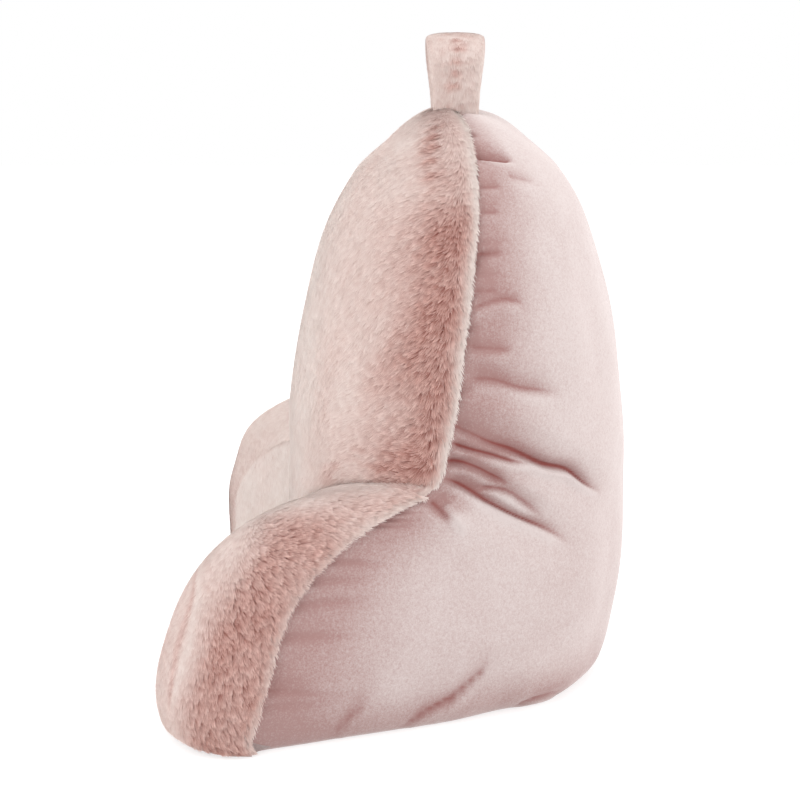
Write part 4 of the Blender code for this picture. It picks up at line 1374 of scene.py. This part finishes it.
class PILLOW_OT_stage(bpy.types.Operator):
    """Set the pale floor, the soft lights and the camera"""

    bl_idname = "pillow.stage"
    bl_label = "Stage"

    def execute(self, context):
        settings = context.scene.pillow_stage
        scene = context.scene
        scene.view_settings.view_transform = "Standard"
        scene.view_settings.look = "None"
        aim = Vector((0.0, settings.aim_forward, settings.aim_height))
        turn, climb = np.radians(settings.azimuth), np.radians(settings.elevation)
        way = Vector((np.sin(turn) * np.cos(climb), -np.cos(turn) * np.cos(climb), np.sin(climb)))
        camera = bpy.data.objects.new("camera", bpy.data.cameras.new("camera"))
        scene.collection.objects.link(camera)
        camera.location = aim + way * settings.distance
        camera.rotation_euler = turned_along(-way)
        camera.data.lens = settings.lens
        camera.data.sensor_width = SENSOR
        scene.camera = camera
        for name, size, place in LAMPS:
            lamp = bpy.data.lights.new(name, "AREA")
            lamp.energy = getattr(settings, name)
            lamp.size = size
            light = bpy.data.objects.new(name, lamp)
            scene.collection.objects.link(light)
            light.location = place
            light.rotation_euler = turned_along(Vector(LAMP_AIM) - light.location)
        scene.world = bpy.data.worlds.new("studio")
        scene.world.use_nodes = True
        nodes = scene.world.node_tree.nodes
        ground = nodes["Background"]
        feed(ground.inputs["Color"], WHITE)
        feed(ground.inputs["Strength"], settings.ambient)
        add = adder(scene.world.node_tree)
        seen = add("ShaderNodeBackground", {"Strength": 1.0, "Color": WHITE})
        choice, rays = add("ShaderNodeMixShader"), add("ShaderNodeLightPath")
        for key, value in enumerate((rays.outputs["Is Camera Ray"], ground.outputs[0], seen.outputs[0])):
            feed(choice.inputs[key], value)
        feed(nodes["World Output"].inputs["Surface"], choice.outputs[0])
        material, shader, _ = new_material("pale_floor")
        shader.inputs["Base Color"].default_value = (0.45, 0.45, 0.45, 1.0)
        finished(shader, 1.0, 0.0)
        shader.inputs["Emission Color"].default_value = WHITE
        shader.inputs["Emission Strength"].default_value = FLOOR_GLOW
        corners = np.array([(-1, -1, 0), (1, -1, 0), (1, 1, 0), (-1, 1, 0)]) * FLOOR_SPAN - [0, 0, FLOOR_DROP]
        floor = add_mesh("floor", corners, [np.array([[0, 1, 2, 3]])], material)
        return {"FINISHED"}


class PILLOW_PT_sidebar(bpy.types.Panel):
    """The settings and the steps, in the sidebar"""

    bl_label = "Reading pillow"
    bl_idname = "PILLOW_PT_sidebar"
    bl_space_type = "VIEW_3D"
    bl_region_type = "UI"
    bl_category = "Pillow"

    def draw(self, context):
        scene = context.scene
        for settings in (scene.pillow_cover, scene.pillow_pile, scene.pillow_stage):
            box = self.layout.box()
            for name in settings.__annotations__:
                box.prop(settings, name)
        for operator in STEPS:
            self.layout.operator(operator.bl_idname)


STEPS = (
    PILLOW_OT_stage,
    PILLOW_OT_cover,
    PILLOW_OT_backing,
    PILLOW_OT_front_pile,
    PILLOW_OT_arm_pile,
    PILLOW_OT_loop,
)
GROUPS = (PillowCoverSettings, PillowPileSettings, PillowStageSettings)
POINTERS = ("pillow_cover", "pillow_pile", "pillow_stage")


def register():
    """Register the settings, the operators and the panel."""
    for group, name in zip(GROUPS, POINTERS):
        bpy.utils.register_class(group)
        setattr(bpy.types.Scene, name, PointerProperty(type=group))
    for operator in STEPS:
        bpy.utils.register_class(operator)
    bpy.utils.register_class(PILLOW_PT_sidebar)


def unregister():
    """Take them away again, last first."""
    bpy.utils.unregister_class(PILLOW_PT_sidebar)
    for operator in reversed(STEPS):
        bpy.utils.unregister_class(operator)
    for group, name in zip(GROUPS, POINTERS):
        delattr(bpy.types.Scene, name)
        bpy.utils.unregister_class(group)


def main():
    """Build the stage and every piece through the operators."""
    register()
    for operator in STEPS:
        group, name = operator.bl_idname.split(".")
        getattr(getattr(bpy.ops, group), name)()
    bpy.context.view_layer.update()


if __name__ == "__main__":
    main()
